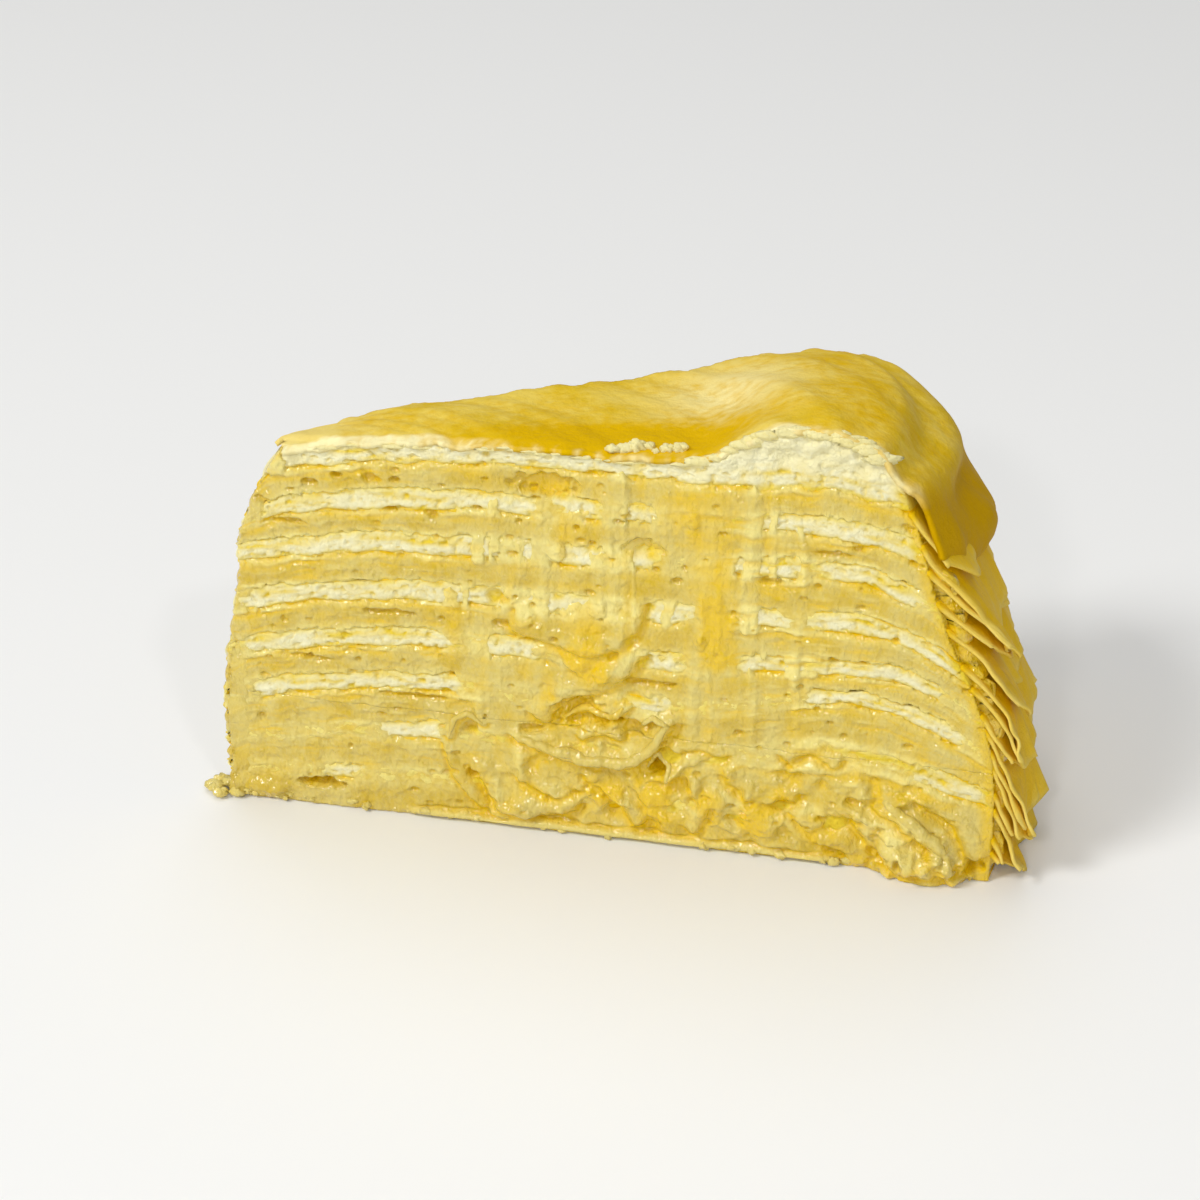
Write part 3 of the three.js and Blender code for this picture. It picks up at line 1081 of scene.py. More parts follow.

# Pits of the front cut; the last number of each is how much deep gold is painted into it as shade.
FRONT_HOLLOWS = (
    Hollow(49.5, 55.3, 5.0, 1.9, 1.3, 0.9),
    Hollow(62.5, 47.2, 3.4, 1.6, 0.9, 0.35),
    Hollow(55.0, 20.5, 5.0, 2.6, 1.6, 0.9),
    Hollow(62.0, 19.0, 3.0, 1.4, 1.3, 0.7),
    Hollow(65.3, 13.0, 1.3, 1.2, 1.8, 0.9),
    Hollow(47.0, 17.0, 2.0, 0.8, 1.2, 0.8),
    Hollow(38.2, 16.0, 1.3, 1.0, 1.2, 0.7),
    Hollow(38.5, 8.5, 1.2, 0.8, 1.2, 0.8),
    Hollow(42.5, 37.5, 1.8, 1.2, 0.8, 0.8),
    Hollow(43.0, 33.6, 1.2, 0.7, 0.8, 0.7),
    Hollow(64.0, 26.5, 4.0, 0.6, 0.9, 0.8),
    Hollow(15.5, 3.9, 3.6, 0.9, 2.2, 1.0),
    Hollow(15.0, 25.0, 4.0, 0.4, 0.7, 0.8),
    Hollow(30.0, 20.2, 6.0, 0.4, 0.8, 0.8),
    Hollow(27.0, 33.6, 5.0, 0.45, 0.8, 0.8),
    Hollow(13.0, 46.3, 3.0, 0.45, 0.8, 0.8),
    Hollow(16.6, 52.6, 1.2, 0.5, 1.0, 0.8),
    Hollow(20.5, 54.0, 1.0, 0.5, 1.0, 0.7),
    Hollow(25.4, 54.1, 1.5, 0.7, 1.1, 0.9),
    Hollow(28.6, 54.2, 0.9, 0.5, 1.0, 0.7),
    Hollow(28.0, 49.6, 1.0, 0.4, 0.9, 0.7),
    Hollow(34.0, 49.4, 0.9, 0.5, 0.9, 0.7),
    Hollow(88.0, 49.2, 3.0, 0.4, 0.7, 0.6),
    Hollow(80.0, 44.3, 2.4, 0.6, 1.0, 0.6),
    Hollow(109.0, 2.3, 2.6, 1.1, 1.6, 0.9),
    Hollow(93.0, 11.0, 1.6, 0.8, 1.0, 0.8),
)

FRONT_LUMPS = (
    Lump(9.0, 55.0, 4.6, 2.4, 0.5, pale=0.8),
    Lump(103.5, 1.2, 6.5, 3.6, 3.0, pale=0.5),
    Lump(101.0, 5.4, 5.0, 3.0, 1.5, pale=0.4),
    Lump(98.0, 8.5, 5.0, 2.6, 1.1, pale=0.4),
    Lump(92.0, 10.0, 2.6, 3.4, 0.8, pale=0.3),
    Lump(80.0, 6.5, 3.6, 2.6, 0.9, 0.3),
    Lump(73.0, 8.0, 2.0, 3.4, 0.7, 0.9),
    Lump(58.0, 7.5, 3.0, 2.2, 0.8, 0.6),
    Lump(65.0, 8.5, 2.6, 2.0, 0.6, 0.9),
    Lump(44.0, 2.6, 3.4, 2.2, 1.3, pale=0.2),
    Lump(55.5, 29.5, 4.0, 3.0, 0.6, 0.7),
    Lump(1.0, 1.2, 3.0, 1.4, 0.9),
    Lump(7.0, 2.2, 3.4, 1.6, 0.8),
)


def front_face(stack: Stack) -> CutFace:
    """Makes the cut that faces the front, with its smears, hollows and torn foot.

    Args:
        stack: Heights and outline of the layers.

    Returns:
        The finished cut.
    """
    face = CutFace(stack, sign=-1.0, seed=11, pitch=0.22, clear=FRONT_CLEAR)
    middle = ease(33.0, 46.0, face.along)
    layered = mix(1.0, 0.25, middle * (1.0 - ease(64.0, 82.0, face.along)))
    raised = face.up + 3.0 * face.noise(face.along / 8.0, 1.0)
    face.strata(layered * ease(4.0, 12.0, raised), lay_stack(stack))
    face.curdle(mix(0.32, 0.14, middle))
    face.drag(0.25 + 0.75 * middle * (1.0 - 0.4 * ease(70.0, 85.0, face.along)), strength=0.11)
    foot_top = 12.0 + 5.0 * ease(40.0, 60.0, face.along) + 2.0 * face.noise(face.along / 6.0, 2.0)
    foot = middle * (1.0 - ease(foot_top - 3.0, foot_top + 2.0, face.up))
    face.tear(foot * (1.0 - ease(100.0, 106.0, face.along)), strength=1.35, size=1.25)
    mess = ease(42.0, 50.0, face.along) * (1.0 - ease(60.0, 70.0, face.along))
    face.tear(0.8 * mess * bell((face.up - 25.0) / 9.0), strength=0.8)
    for smear in FRONT_SMEARS:
        face.lay_smear(smear)
    face.drip(count=30, along=(36.0, 87.0), up=(14.0, 56.0))
    for hollow in FRONT_HOLLOWS:
        face.lay_hollow(hollow)
    for lump in FRONT_LUMPS:
        face.lay_lump(lump)
    for lip in (*FRONT_LIPS, *FRONT_RIDGES):
        face.lay_ridge(lip)
    face.bare_base_crepe(start=28.0, end=91.0)
    face.pore(count=200, low=0.2, high=0.45)
    face.finish()
    return face


def back_face(stack: Stack) -> CutFace:
    """Makes the cut at the back, with layers that show through smears spread at random.

    Args:
        stack: Heights and outline of the layers.

    Returns:
        The finished cut.
    """
    rng = np.random.default_rng(23)
    clear = []
    for _ in stack.creams[:-1]:
        first, second, third, fourth = (float(part) for part in np.sort(rng.uniform(8.0, 104.0, 4)))
        clear.append(((6.0, first), (second, third), (fourth, 106.0)))
    clear.append(((2.0, 104.0),))
    face = CutFace(stack, sign=1.0, seed=29, pitch=0.42, clear=clear)
    face.strata(np.full_like(face.along, 0.8), lay_stack(stack))
    face.curdle(np.full_like(face.along, 0.25))
    face.drag(np.full_like(face.along, 0.7), strength=0.18)
    edge = face.up + 2.0 * face.noise(face.along / 6.0, 4.0)
    foot = ease(30.0, 50.0, face.along) * (1.0 - ease(9.0, 15.0, edge))
    face.tear(foot, strength=1.1)
    for _ in range(16):
        top = rng.uniform(25.0, 57.0)
        place = (rng.uniform(22.0, 98.0), top, top - rng.uniform(10.0, 24.0))
        size = (rng.uniform(1.4, 5.0), rng.uniform(0.3, 0.6))
        face.lay_smear(Smear(*place, *size, rng.choice([0.0, 0.0, 0.5]), rng.choice([0.0, 0.3])))
    for _ in range(14):
        place = (rng.uniform(20.0, 100.0), rng.uniform(5.0, 50.0))
        size = (rng.uniform(1.0, 3.5), rng.uniform(0.4, 1.2), rng.uniform(0.6, 1.3))
        face.lay_hollow(Hollow(*place, *size))
        place = (rng.uniform(25.0, 100.0), rng.uniform(4.0, 30.0))
        size = (rng.uniform(1.5, 4.0), rng.uniform(1.0, 2.2), rng.uniform(0.4, 0.9))
        face.lay_lump(Lump(*place, *size, deep=0.3))
    face.pore(count=300, low=0.25, high=0.5)
    face.finish()
    return face


@dataclass
class Shell:
    """A mesh in the making: points in millimetres, faces and the paint of each point."""

    points: Grid
    quads: Grid
    triangles: Grid
    paint: Grid

    @staticmethod
    def joined(shells: Sequence["Shell"]) -> "Shell":
        """Puts shells side by side in one mesh.

        Args:
            shells: The shells.

        Returns:
            One shell with all their points and faces.
        """
        offsets = np.cumsum([0] + [len(shell.points) for shell in shells[:-1]])
        return Shell(
            np.concatenate([shell.points for shell in shells]),
            np.concatenate([shell.quads + offset for shell, offset in zip(shells, offsets)]),
            np.concatenate([shell.triangles + offset for shell, offset in zip(shells, offsets)]),
            np.concatenate([shell.paint for shell in shells]),
        )


def zip_chains(first: Sequence[int], second: Sequence[int]) -> Grid:
    """Spans two chains of points that run side by side with a strip of triangles.

    Args:
        first: Numbers of the points of the first chain.
        second: Numbers of the points of the second chain.

    Returns:
        The triangles, one a row.
    """
    triangles = []
    i = 0
    j = 0
    while i + 1 < len(first) or j + 1 < len(second):
        ahead_first = (i + 1) / (len(first) - 1)
        ahead_second = (j + 1) / (len(second) - 1)
        if i + 1 < len(first) and (ahead_first <= ahead_second or j + 1 >= len(second)):
            triangles.append((first[i], first[i + 1], second[j]))
            i += 1
        else:
            triangles.append((first[i], second[j + 1], second[j]))
            j += 1
    return np.array(triangles)


@dataclass(frozen=True)
class Profile:
    """How the wall of a layer bulges between its two faces, and how finely it is made."""

    proud: float
    rounding: float
    power: float
    rough: float
    pitch: float
    row_pitch: float


PROFILES = {
    Filling.CREAM: Profile(proud=0.1, rounding=0.5, power=5.0, rough=0.2, pitch=0.24, row_pitch=0.22),
    Filling.PULP: Profile(proud=-0.5, rounding=0.3, power=4.0, rough=0.1, pitch=0.7, row_pitch=0.6),
    None: Profile(proud=-0.15, rounding=0.12, power=6.0, rough=0.14, pitch=0.36, row_pitch=0.3),
}


class LayerSlab:
    """The closed slab of one layer, whose wall carries the relief of both cuts."""

    SEED = 100
    BACK_COARSER = 2.0
    RIM_COLUMNS = 40
    TIP_COLUMNS = 5
    CREASE = 0.9
    CAP_SINK = 0.25
    LIP_UNDER = 0.3
    LIP_OVER = 0.75
    DOLLOP_ROWS = 34
    GRAIN = 0.09
    PITS = 0.3

    def __init__(self, stack: Stack, layer: Layer, front: CutFace, back: CutFace) -> None:
        """Keeps what the slab is made from.

        Args:
            stack: Heights and outline of the layers.
            layer: The layer.
            front: The cut at the front.
            back: The cut at the back.
        """
        self.stack = stack
        self.layer = layer
        self.front = front
        self.back = back
        self.under_dollop = layer.node == DOLLOP_NODE
        self.profile = PROFILES[layer.filling]
        self.noise = Noise(self.SEED + int(layer.low * 10.0))

    def rows(self) -> tuple[Grid, Grid]:
        """Places the rows of points up the wall.

        Returns:
            Their places between the faces of the layer, and how far each is drawn in at the creases.
        """
        thickness = self.layer.high - self.layer.low
        count = max(4, round(thickness / self.profile.row_pitch))
        if self.under_dollop:
            count = self.DOLLOP_ROWS
        share = np.linspace(0.0, 1.0, count + 1)
        if self.layer.filling is Filling.CREAM:
            over = 0.0 if self.under_dollop else self.LIP_OVER / thickness
            share = np.linspace(-self.LIP_UNDER / thickness, 1.0 + over, count + 5)
        sink = self.CAP_SINK / thickness
        inset = np.zeros(len(share) + 2)
        inset[[0, -1]] = 1.0
        return np.concatenate([[sink], share, [1.0 - sink]]), inset

    def levels(self, share: Grid) -> Grid:
        """Levels in the plain stack of the rows at these places between the faces."""
        return mix(self.layer.low, self.layer.high, np.clip(share, 0.0, 1.0))[:, None]

    def wall_height(self, share: Grid, radius: Grid, angle: Grid | float) -> Grid:
        """Height of wall points.

        Args:
            share: Their place between the faces of the layer.
            radius: Their distance from the tip.
            angle: Their turn from the middle.

        Returns:
            The heights, with the lift of the dollop where this layer holds it.
        """
        low = self.stack.height(self.layer.low, radius, angle)
        high = self.stack.height(self.layer.high, radius, angle)
        if self.under_dollop:
            high = high + self.stack.dollop(radius, angle)
        return mix(low, high, share)

    def cut_side(self, face: CutFace, coarser: float, share: Grid, inset: Grid) -> tuple[Grid, Grid]:
        """Points and paint of the wall along one cut, from the tip to the rim.

        Args:
            face: The cut.
            coarser: How much coarser than the profile's pitch the columns are.
            share: Place of each row between the faces of the layer.
            inset: How far each row is drawn in at the creases, from 0 to 1.

        Returns:
            The points, rows by columns by 3, and the paint.
        """
        level = self.levels(share)
        start = self.stack.tip_edge(level)
        end = self.stack.rim_radius(level, face.angle)
        columns = round(float(end.max()) / (self.profile.pitch * coarser))
        radius = mix(start, end, np.linspace(0.0, 1.0, columns)[None, :])
        up = self.wall_height(share[:, None], radius, face.angle)
        profile = self.profile
        place = (share - share.min()) / (share.max() - share.min())
        rounded = 1.0 - (1.0 - np.abs(2.0 * place[:, None] - 1.0) ** profile.power) ** 0.5
        rough = profile.rough * self.noise.layered(radius / 1.5, up, 3)
        if self.layer.filling is Filling.CREAM:
            rough = rough + self.GRAIN * self.noise(radius / 0.6, up / 0.55)
            rough = rough - self.PITS * ease(0.3, 0.6, self.noise(radius / 1.1 + 50.0, up / 0.8))
        thick = 0.0
        if self.under_dollop:
            thick = ease(3.0, 6.0, up - self.stack.height(self.layer.low, radius, face.angle) + 2.0)
            rough = rough + 1.3 * thick * (0.35 - np.abs(self.noise(radius / 6.0, up / 4.6)))
            rough = rough + 0.45 * thick * self.noise(radius / 2.4, up / 2.0)
        out = face.sample(face.base, radius, up) + profile.proud - profile.rounding * rounded + rough
        out = out - self.CREASE * inset[:, None] - face.tuck(radius, level + 0.0 * radius)
        # The wall takes the deep colour of the cut, with painted shade added where its roughness sinks it and
        # full painted shade along the creases at its faces; the thick cream under the dollop has less.
        deep = face.sample(face.deep, radius, up) + ease(0.0, -0.9, rough / max(profile.rough, 0.1)) * 0.35
        deep = (deep + inset[:, None]) * (1.0 - 0.75 * thick)
        white = np.maximum(face.sample(face.white, radius, up), 0.9 * thick)
        smeared = white if self.layer.filling is None else 1.0 - white
        paint = np.stack([smeared, np.clip(deep, 0.0, 1.0), 0.0 * deep], axis=-1)
        return face.to_space(radius, up, out), paint

    def shell(self) -> Shell:
        """Builds the slab.

        Returns:
            Its mesh, with the wall in quads and both hidden faces in triangles.
        """
        share, inset = self.rows()
        front, front_paint = self.cut_side(self.front, 1.0, share, inset)
        back, back_paint = self.cut_side(self.back, self.BACK_COARSER, share, inset)
        turns = np.linspace(-HALF_CUT, HALF_CUT, self.RIM_COLUMNS + 2)[None, 1:-1]
        radius = self.stack.rim_radius(self.levels(share), turns) - 0.4 * inset[:, None]
        rim = around_tip(radius, turns, self.wall_height(share[:, None], radius, turns))
        across = np.linspace(0.0, 1.0, self.TIP_COLUMNS + 2)[None, 1:-1, None]
        tip = mix(back[:, :1], front[:, :1], across)
        bulge = 0.35 * (1.0 - np.abs(2.0 * share - 1.0) ** 2)[:, None] - 0.4 * inset[:, None]
        tip[:, :, 0] -= bulge * np.sin(math.pi * across[:, :, 0]) ** 0.5
        points = np.concatenate([front, rim, back[:, ::-1], tip], axis=1)
        # The rim wall is painted deep gold all over, as shade under the hanging margins.
        rim_shade_paint = np.zeros(rim.shape)
        rim_shade_paint[..., 1] = 1.0
        paint = np.concatenate([front_paint, rim_shade_paint, back_paint[:, ::-1], np.zeros(tip.shape)], axis=1)
        index = np.arange(points.shape[0] * points.shape[1]).reshape(points.shape[:2])
        quads = grid_quads(closed_ring(index), turned=True).reshape(-1, 4)
        ends = front.shape[1] + self.RIM_COLUMNS // 2
        caps = []
        for row, turned in ((index[0], False), (index[-1], True)):
            loop = np.roll(row, self.TIP_COLUMNS // 2)
            forward = loop[: ends + self.TIP_COLUMNS // 2]
            backward = np.concatenate([[loop[0]], loop[len(forward) - 1:][::-1]])
            cap = zip_chains(list(forward), list(backward))
            caps.append(cap[:, ::-1] if turned else cap)
        triangles = np.concatenate(caps)
        keep = (triangles[:, 0] != triangles[:, 1]) & (triangles[:, 1] != triangles[:, 2])
        triangles = triangles[keep & (triangles[:, 0] != triangles[:, 2])]
        return Shell(points.reshape(-1, 3), quads, triangles, paint.reshape(-1, 3))


def sheet_shell(middle: Grid, thickness: Grid | float, paint: Grid) -> Shell:
    """Makes a closed thin sheet around a grid of points.

    Args:
        middle: Points of the middle of the sheet, rows by columns by 3.
        thickness: Thickness at each point.
        paint: Paint of each point.

    Returns:
        The mesh of both faces and the edge.
    """
    along_rows = np.gradient(middle, axis=0)
    along_columns = np.gradient(middle, axis=1)
    normal = np.cross(along_rows, along_columns)
    normal /= np.maximum(np.linalg.norm(normal, axis=-1, keepdims=True), 1e-9)
    half = np.broadcast_to(np.asarray(thickness, dtype=float), middle.shape[:2])[..., None] / 2.0
    over = middle + normal * half
    under = middle - normal * half
    rows, columns = middle.shape[:2]
    top = np.arange(rows * columns).reshape(rows, columns)
    bottom = top + rows * columns
    loop = np.concatenate([top[:-1, 0], top[-1, :-1], top[:0:-1, -1], top[0, :0:-1]])
    after = np.roll(loop, -1)
    faces = [
        grid_quads(top).reshape(-1, 4),
        grid_quads(bottom, turned=True).reshape(-1, 4),
        np.stack([loop, loop + rows * columns, after + rows * columns, after], axis=-1),
    ]
    points = np.concatenate([over.reshape(-1, 3), under.reshape(-1, 3)])
    both = np.concatenate([paint.reshape(-1, 3), paint.reshape(-1, 3)])
    return Shell(points, np.concatenate(faces), NO_TRIANGLES, both)


@dataclass(frozen=True)
class Rim:
    """How the margins of the crepes hang over the rim."""

    ends: tuple[float, ...] = (46.5, 35.0, 26.5, 18.0, 6.0, 0.7)
    shortest: float = 7.0
    longest: float = 19.0
    spread: float = 0.14
    corner: float = 3.0
    shoulder: float = 0.6
    shoulder_fall: float = 2.0
    thickness: float = 0.4
    stuffed: Span = (1.5, 56.0)
    stuffing_width: Span = (0.9, 5.5)
    stuffing_rows: int = 150
    stuffing_columns: int = 10
    noise: Noise = field(default_factory=lambda: Noise(41))

    def pleats(self, arc: Grid, height: Grid) -> Grid:
        """Folds that all margins share at a place of the rim."""
        depth = mix(1.5, 0.4, ease(8.0, 55.0, height))
        return depth * self.noise(arc / 8.0, height / 26.0) + 0.35 * self.noise(arc / 2.6, height / 14.0)

    def stuffing(self, stack: Stack, sign: float) -> Shell:
        """Builds the golden pulp that is squeezed out between the margins beside one cut.

        Args:
            stack: Heights and outline of the layers.
            sign: -1 at the front cut, 1 at the back cut.

        Returns:
            Its closed mesh.
        """
        height = np.linspace(*self.stuffed, self.stuffing_rows)[:, None]
        inset = np.linspace(*self.stuffing_width, self.stuffing_columns)[None, :]
        turns = sign * (HALF_CUT - inset / RIM_RADIUS) + 0.0 * height
        lumps = self.noise.layered(height / 2.4, inset / 3.0 + 20.0 * sign, 3)
        out = mix(1.6, 3.0, ease(14.0, 34.0, height)) * (0.85 + 0.6 * lumps)
        out = out * ease(5.5, 2.0, inset) * ease(1.5, 5.0, height) * ease(50.0, 45.0, height)
        radius = stack.rim_line(height, turns) - 0.6 + out / 2.0
        deep = np.clip(0.75 + 0.8 * self.noise.layered(height / 3.0, inset / 2.0, 2), 0.0, 1.0)
        paint = np.stack([0.0 * deep, deep, 0.0 * deep], axis=-1)
        return sheet_shell(around_tip(radius, turns, height), out + 0.8, paint)

    def end_for(self, start: float) -> float:
        """Height at which a margin that starts at this height ends."""
        reached = [end for end in self.ends if self.shortest <= start - end <= self.longest]
        return reached[0] if reached else max(0.6, start - self.shortest)


class Margin:
    """The margin of one crepe, which hangs over the rim and ends in a frilly edge."""

    SEED = 300
    DRAW_SEED = 700
    COLUMNS = 96
    STEP = 0.55

    def __init__(self, stack: Stack, rim: Rim, layer: Layer) -> None:
        """Keeps what the margin is made from.

        Args:
            stack: Heights and outline of the layers.
            rim: How margins hang.
            layer: The crepe that the margin belongs to.
        """
        self.stack = stack
        self.rim = rim
        self.layer = layer
        self.noise = Noise(self.SEED + int(layer.low * 10.0))
        self.rng = np.random.default_rng(self.DRAW_SEED + int(layer.low * 10.0))

    def shell(self) -> Shell:
        """Builds the margin.

        Returns:
            Its closed sheet.
        """
        level = (self.layer.low + self.layer.high) / 2.0
        turns = np.linspace(-1.0, 1.0, self.COLUMNS)[None, :] * HALF_CUT
        arc = turns * RIM_RADIUS
        phase = self.rng.uniform(0.0, 50.0)
        start = self.stack.height(level, self.stack.rim_radius(level, turns), turns)
        end = self.rim.end_for(float(start.mean())) + self.rng.uniform(-0.8, 0.8)
        frayed = 1.5 * self.noise(arc / 6.0 + phase, 1.0) + 0.6 * self.noise(arc / 1.9 + phase, 5.0)
        frayed = frayed * mix(0.25, 1.0, ease(2.0, 7.0, end))
        cornered = self.rim.corner * ease(0.8, 1.0, np.abs(turns) / HALF_CUT) ** 2
        end = np.clip(end + frayed + cornered, 0.3, start - 1.5)
        length = start - end
        steps = max(6, round(float(length.max()) / self.STEP))
        place = np.linspace(0.0, 1.0, steps)[:, None]
        fall = place * length
        height = start - fall
        hugged = self.stack.rim_line(height, turns)
        hugged = hugged + ease(0.0, 0.8, place) * self.stack.hollow(height, turns)
        offset = self.rim.spread * mix(0.9, 0.25, ease(18.0, 36.0, height)) * fall
        offset = offset + self.rim.shoulder * (1.0 - np.exp(-fall / self.rim.shoulder_fall))
        low = ease(30.0, 14.0, height)
        edge = place ** 2.5 * ease(3.0, 9.0, length)
        lift = edge * (0.5 + 0.9 * np.maximum(0.0, self.noise(arc / 5.0 + phase, 6.0)) * (1.0 + 1.6 * low))
        lift = lift + edge * low * np.maximum(0.0, self.noise(arc / 9.0 + 3.0, level / 5.0))
        ease_in = ease(0.0, 3.0, fall)
        folds = self.rim.pleats(arc, height) + lift * ease(52.0, 45.0, height)
        radius = hugged + offset + ease_in * folds
        side = np.abs(turns) / HALF_CUT
        hand = np.sign(turns)
        curl = ease(0.93, 1.0, side) * place * (0.3 + 1.3 * self.noise(height / 4.0 + phase, 2.0 * hand))
        angle = turns + hand * curl / radius
        parted = 0.5 + 1.1 * self.noise(height / 6.5 - phase, 7.0 * hand)
        high = ease(16.0, 34.0, height)
        peeled = mix(0.8, 3.0, high) * (1.0 - np.exp(-fall / 4.0)) * ease(3.0, 10.0, length)
        peeled = peeled + mix(0.5, 1.2, high) * place ** 3
        covered = mix(1.0, 0.2, ease(43.0, 50.0, height))
        waved = 0.8 + 0.45 * self.noise(height / 8.0 + 1.3, 3.0 * hand)
        radius = radius + covered * (peeled * waved + 0.4 * parted * place) * ease(0.55, 1.0, side) ** 1.4
        ruffled = self.noise(height / 2.4 + phase, arc / 4.0)
        radius = radius + 0.7 * covered * place * ease(0.75, 1.0, side) * ruffled
        shade = 0.25 * self.noise(arc / 4.0, height / 5.0)
        rimmed = np.maximum(ease(0.94, 1.0, side), 0.6 * ease(-1.2, -0.1, fall - length))
        rimmed = rimmed * ease(0.0, 1.5, fall)
        deep = np.clip(1.5 - 0.7 * place - 0.25 * lift + shade, 0.0, 1.0) * (1.0 - 0.6 * rimmed)
        paint = np.stack([0.28 * rimmed, deep, 0.0 * deep], axis=-1)
        thickness = mix(self.rim.thickness + 0.25, self.rim.thickness, ease_in)
        return sheet_shell(around_tip(radius, angle, height), thickness, paint)


class TopCrepe:
    """The top crepe: a golden sheet that covers the cake and drapes over its rim."""

    SEED = 61
    ROWS = 250
    COLUMNS = 104
    THICKNESS = 0.75
    DROP = 17.5
    BARE_TIP = 1.0
    WIDER_BEHIND = 3.2
    SHOULDER_SLOPE = math.radians(-28.0)
    DRAPE_SLOPE = math.radians(-74.0)
    SHOULDER = 6.0

    def __init__(self, stack: Stack, rim: Rim, layer: Layer) -> None:
        """Keeps what the crepe is made from.

        Args:
            stack: Heights and outline of the layers.
            rim: How margins hang.
            layer: The top crepe.
        """
        self.stack = stack
        self.rim = rim
        self.layer = layer
        self.noise = Noise(self.SEED)

    def shell(self) -> Shell:
        """Builds the crepe.

        Returns:
            Its closed sheet.
        """
        level = (self.layer.low + self.layer.high) / 2.0
        turns = np.linspace(-1.0, 1.0, self.COLUMNS)[None, :] * HALF_CUT
        share = turns / HALF_CUT
        rim = self.stack.rim_radius(level, turns) + self.WIDER_BEHIND * ease(-1.0, 0.0, share)
        ragged_tip = 0.8 * self.noise(share * 4.0, 2.0)
        tip = self.stack.tip_radius(level) + self.BARE_TIP + ragged_tip - 1.5 * ease(-1.0, 1.0, share)
        flat = rim - tip
        drop = self.DROP * (1.0 + 0.12 * self.noise(share * 3.0, 5.0) - 0.3 * ease(-0.6, -1.0, share))
        place = np.linspace(0.0, 1.0, self.ROWS)[:, None] * (flat + drop)
        over = np.maximum(0.0, place - flat)
        edge = over / drop
        radius = np.minimum(tip + place, rim)
        height = self.stack.top_height(radius, turns, level)
        slope = mix(self.SHOULDER_SLOPE, self.DRAPE_SLOPE, ease(0.0, self.SHOULDER, over))
        step = np.diff(over, axis=0, prepend=0.0)
        radius = radius + np.cumsum(step * np.cos(slope), axis=0)
        height = height + np.cumsum(step * np.sin(slope), axis=0)
        arc = turns * np.minimum(radius, RIM_RADIUS)
        pucker = 2.2 * bell((turns + 0.03) / 0.09) * bell((over - 12.5) / 3.4)
        dent = -2.0 * bell((turns + 0.06) / 0.07) * bell((over - 6.5) / 3.0)
        second = 1.2 * bell((turns + 0.19) / 0.04) * bell((over - 11.0) / 4.0)
        tuck_under = -1.6 * bell((turns + 0.03) / 0.12) * ease(15.0, 18.0, over)
        folds = edge * self.rim.pleats(arc, height) * 0.8 + 0.9 * edge ** 2 * self.noise(arc / 3.6, 4.0)
        out = pucker + dent + second + folds + tuck_under
        radius = radius + out
        wrinkle = 0.25 * self.noise.layered(radius / 15.0, arc / 10.0, 2)
        wrinkle = wrinkle + 0.03 * self.noise.layered(radius / 2.4, arc / 1.9, 2)
        height = height + wrinkle * (1.0 - edge)
        front = ease(0.86, 1.0, -share)
        rear = ease(0.9, 1.0, share)
        sagging = (front + rear) * ease(6.0, 14.0, radius) * (1.0 - edge)
        height = height - sagging * (0.25 + 0.45 * self.noise(radius / 4.0, np.sign(share) * 4.0))
        shift = 0.55 * self.noise(radius / 3.0, 8.0) + 0.3 * self.noise(radius / 0.9, 3.0) - 0.5
        shift = (ease(0.9, 1.0, -share) - rear) * shift * (1.0 - 0.7 * edge)
        angle = turns + shift / np.maximum(radius, 5.0)
        browned = 1.8 * bell((share + 0.65) / 0.45) * bell((radius - 58.0) / 17.0)
        browned = browned + 0.2 * bell((share - 0.1) / 0.5) * bell((radius - 32.0) / 10.0)
        browned = browned + 0.6 * bell((radius - 92.0) / 7.0)
        browned = browned + 0.5 * self.noise.layered(radius / 11.0, arc / 7.0, 3)
        browned = browned + 0.6 * self.noise.layered(radius / 1.4, arc / 1.4, 3)
        inset = (1.0 + share) * HALF_CUT * radius
        creamed = 0.8 + self.noise(radius / 6.0, 30.0)
        creamed = creamed + 0.5 * self.noise.layered(radius / 1.6, inset / 1.2, 2)
        # A lighter band on the dome and a lighter end near the tip are painted highlights; the last term is
        # cream smeared along the front edge.
        pale = 0.6 * bell((radius - 74.0) / 9.0) * bell((share - 0.2) / 0.7)
        pale = pale + 0.35 * ease(34.0, 10.0, radius)
        pale = pale + ease(0.8, -0.8, inset - creamed) * (1.0 - edge)
        # The drape is painted the deep colour as shade on the side that hangs over the rim, and folds that
        # stand out are painted lighter as highlights.
        deep = 2.6 * edge - 0.2 * np.maximum(0.0, out)
        paint = np.clip(np.stack([pale, deep, browned * (1.0 - edge)], axis=-1), 0.0, 1.0)
        return sheet_shell(around_tip(radius, angle, height), self.THICKNESS, paint)


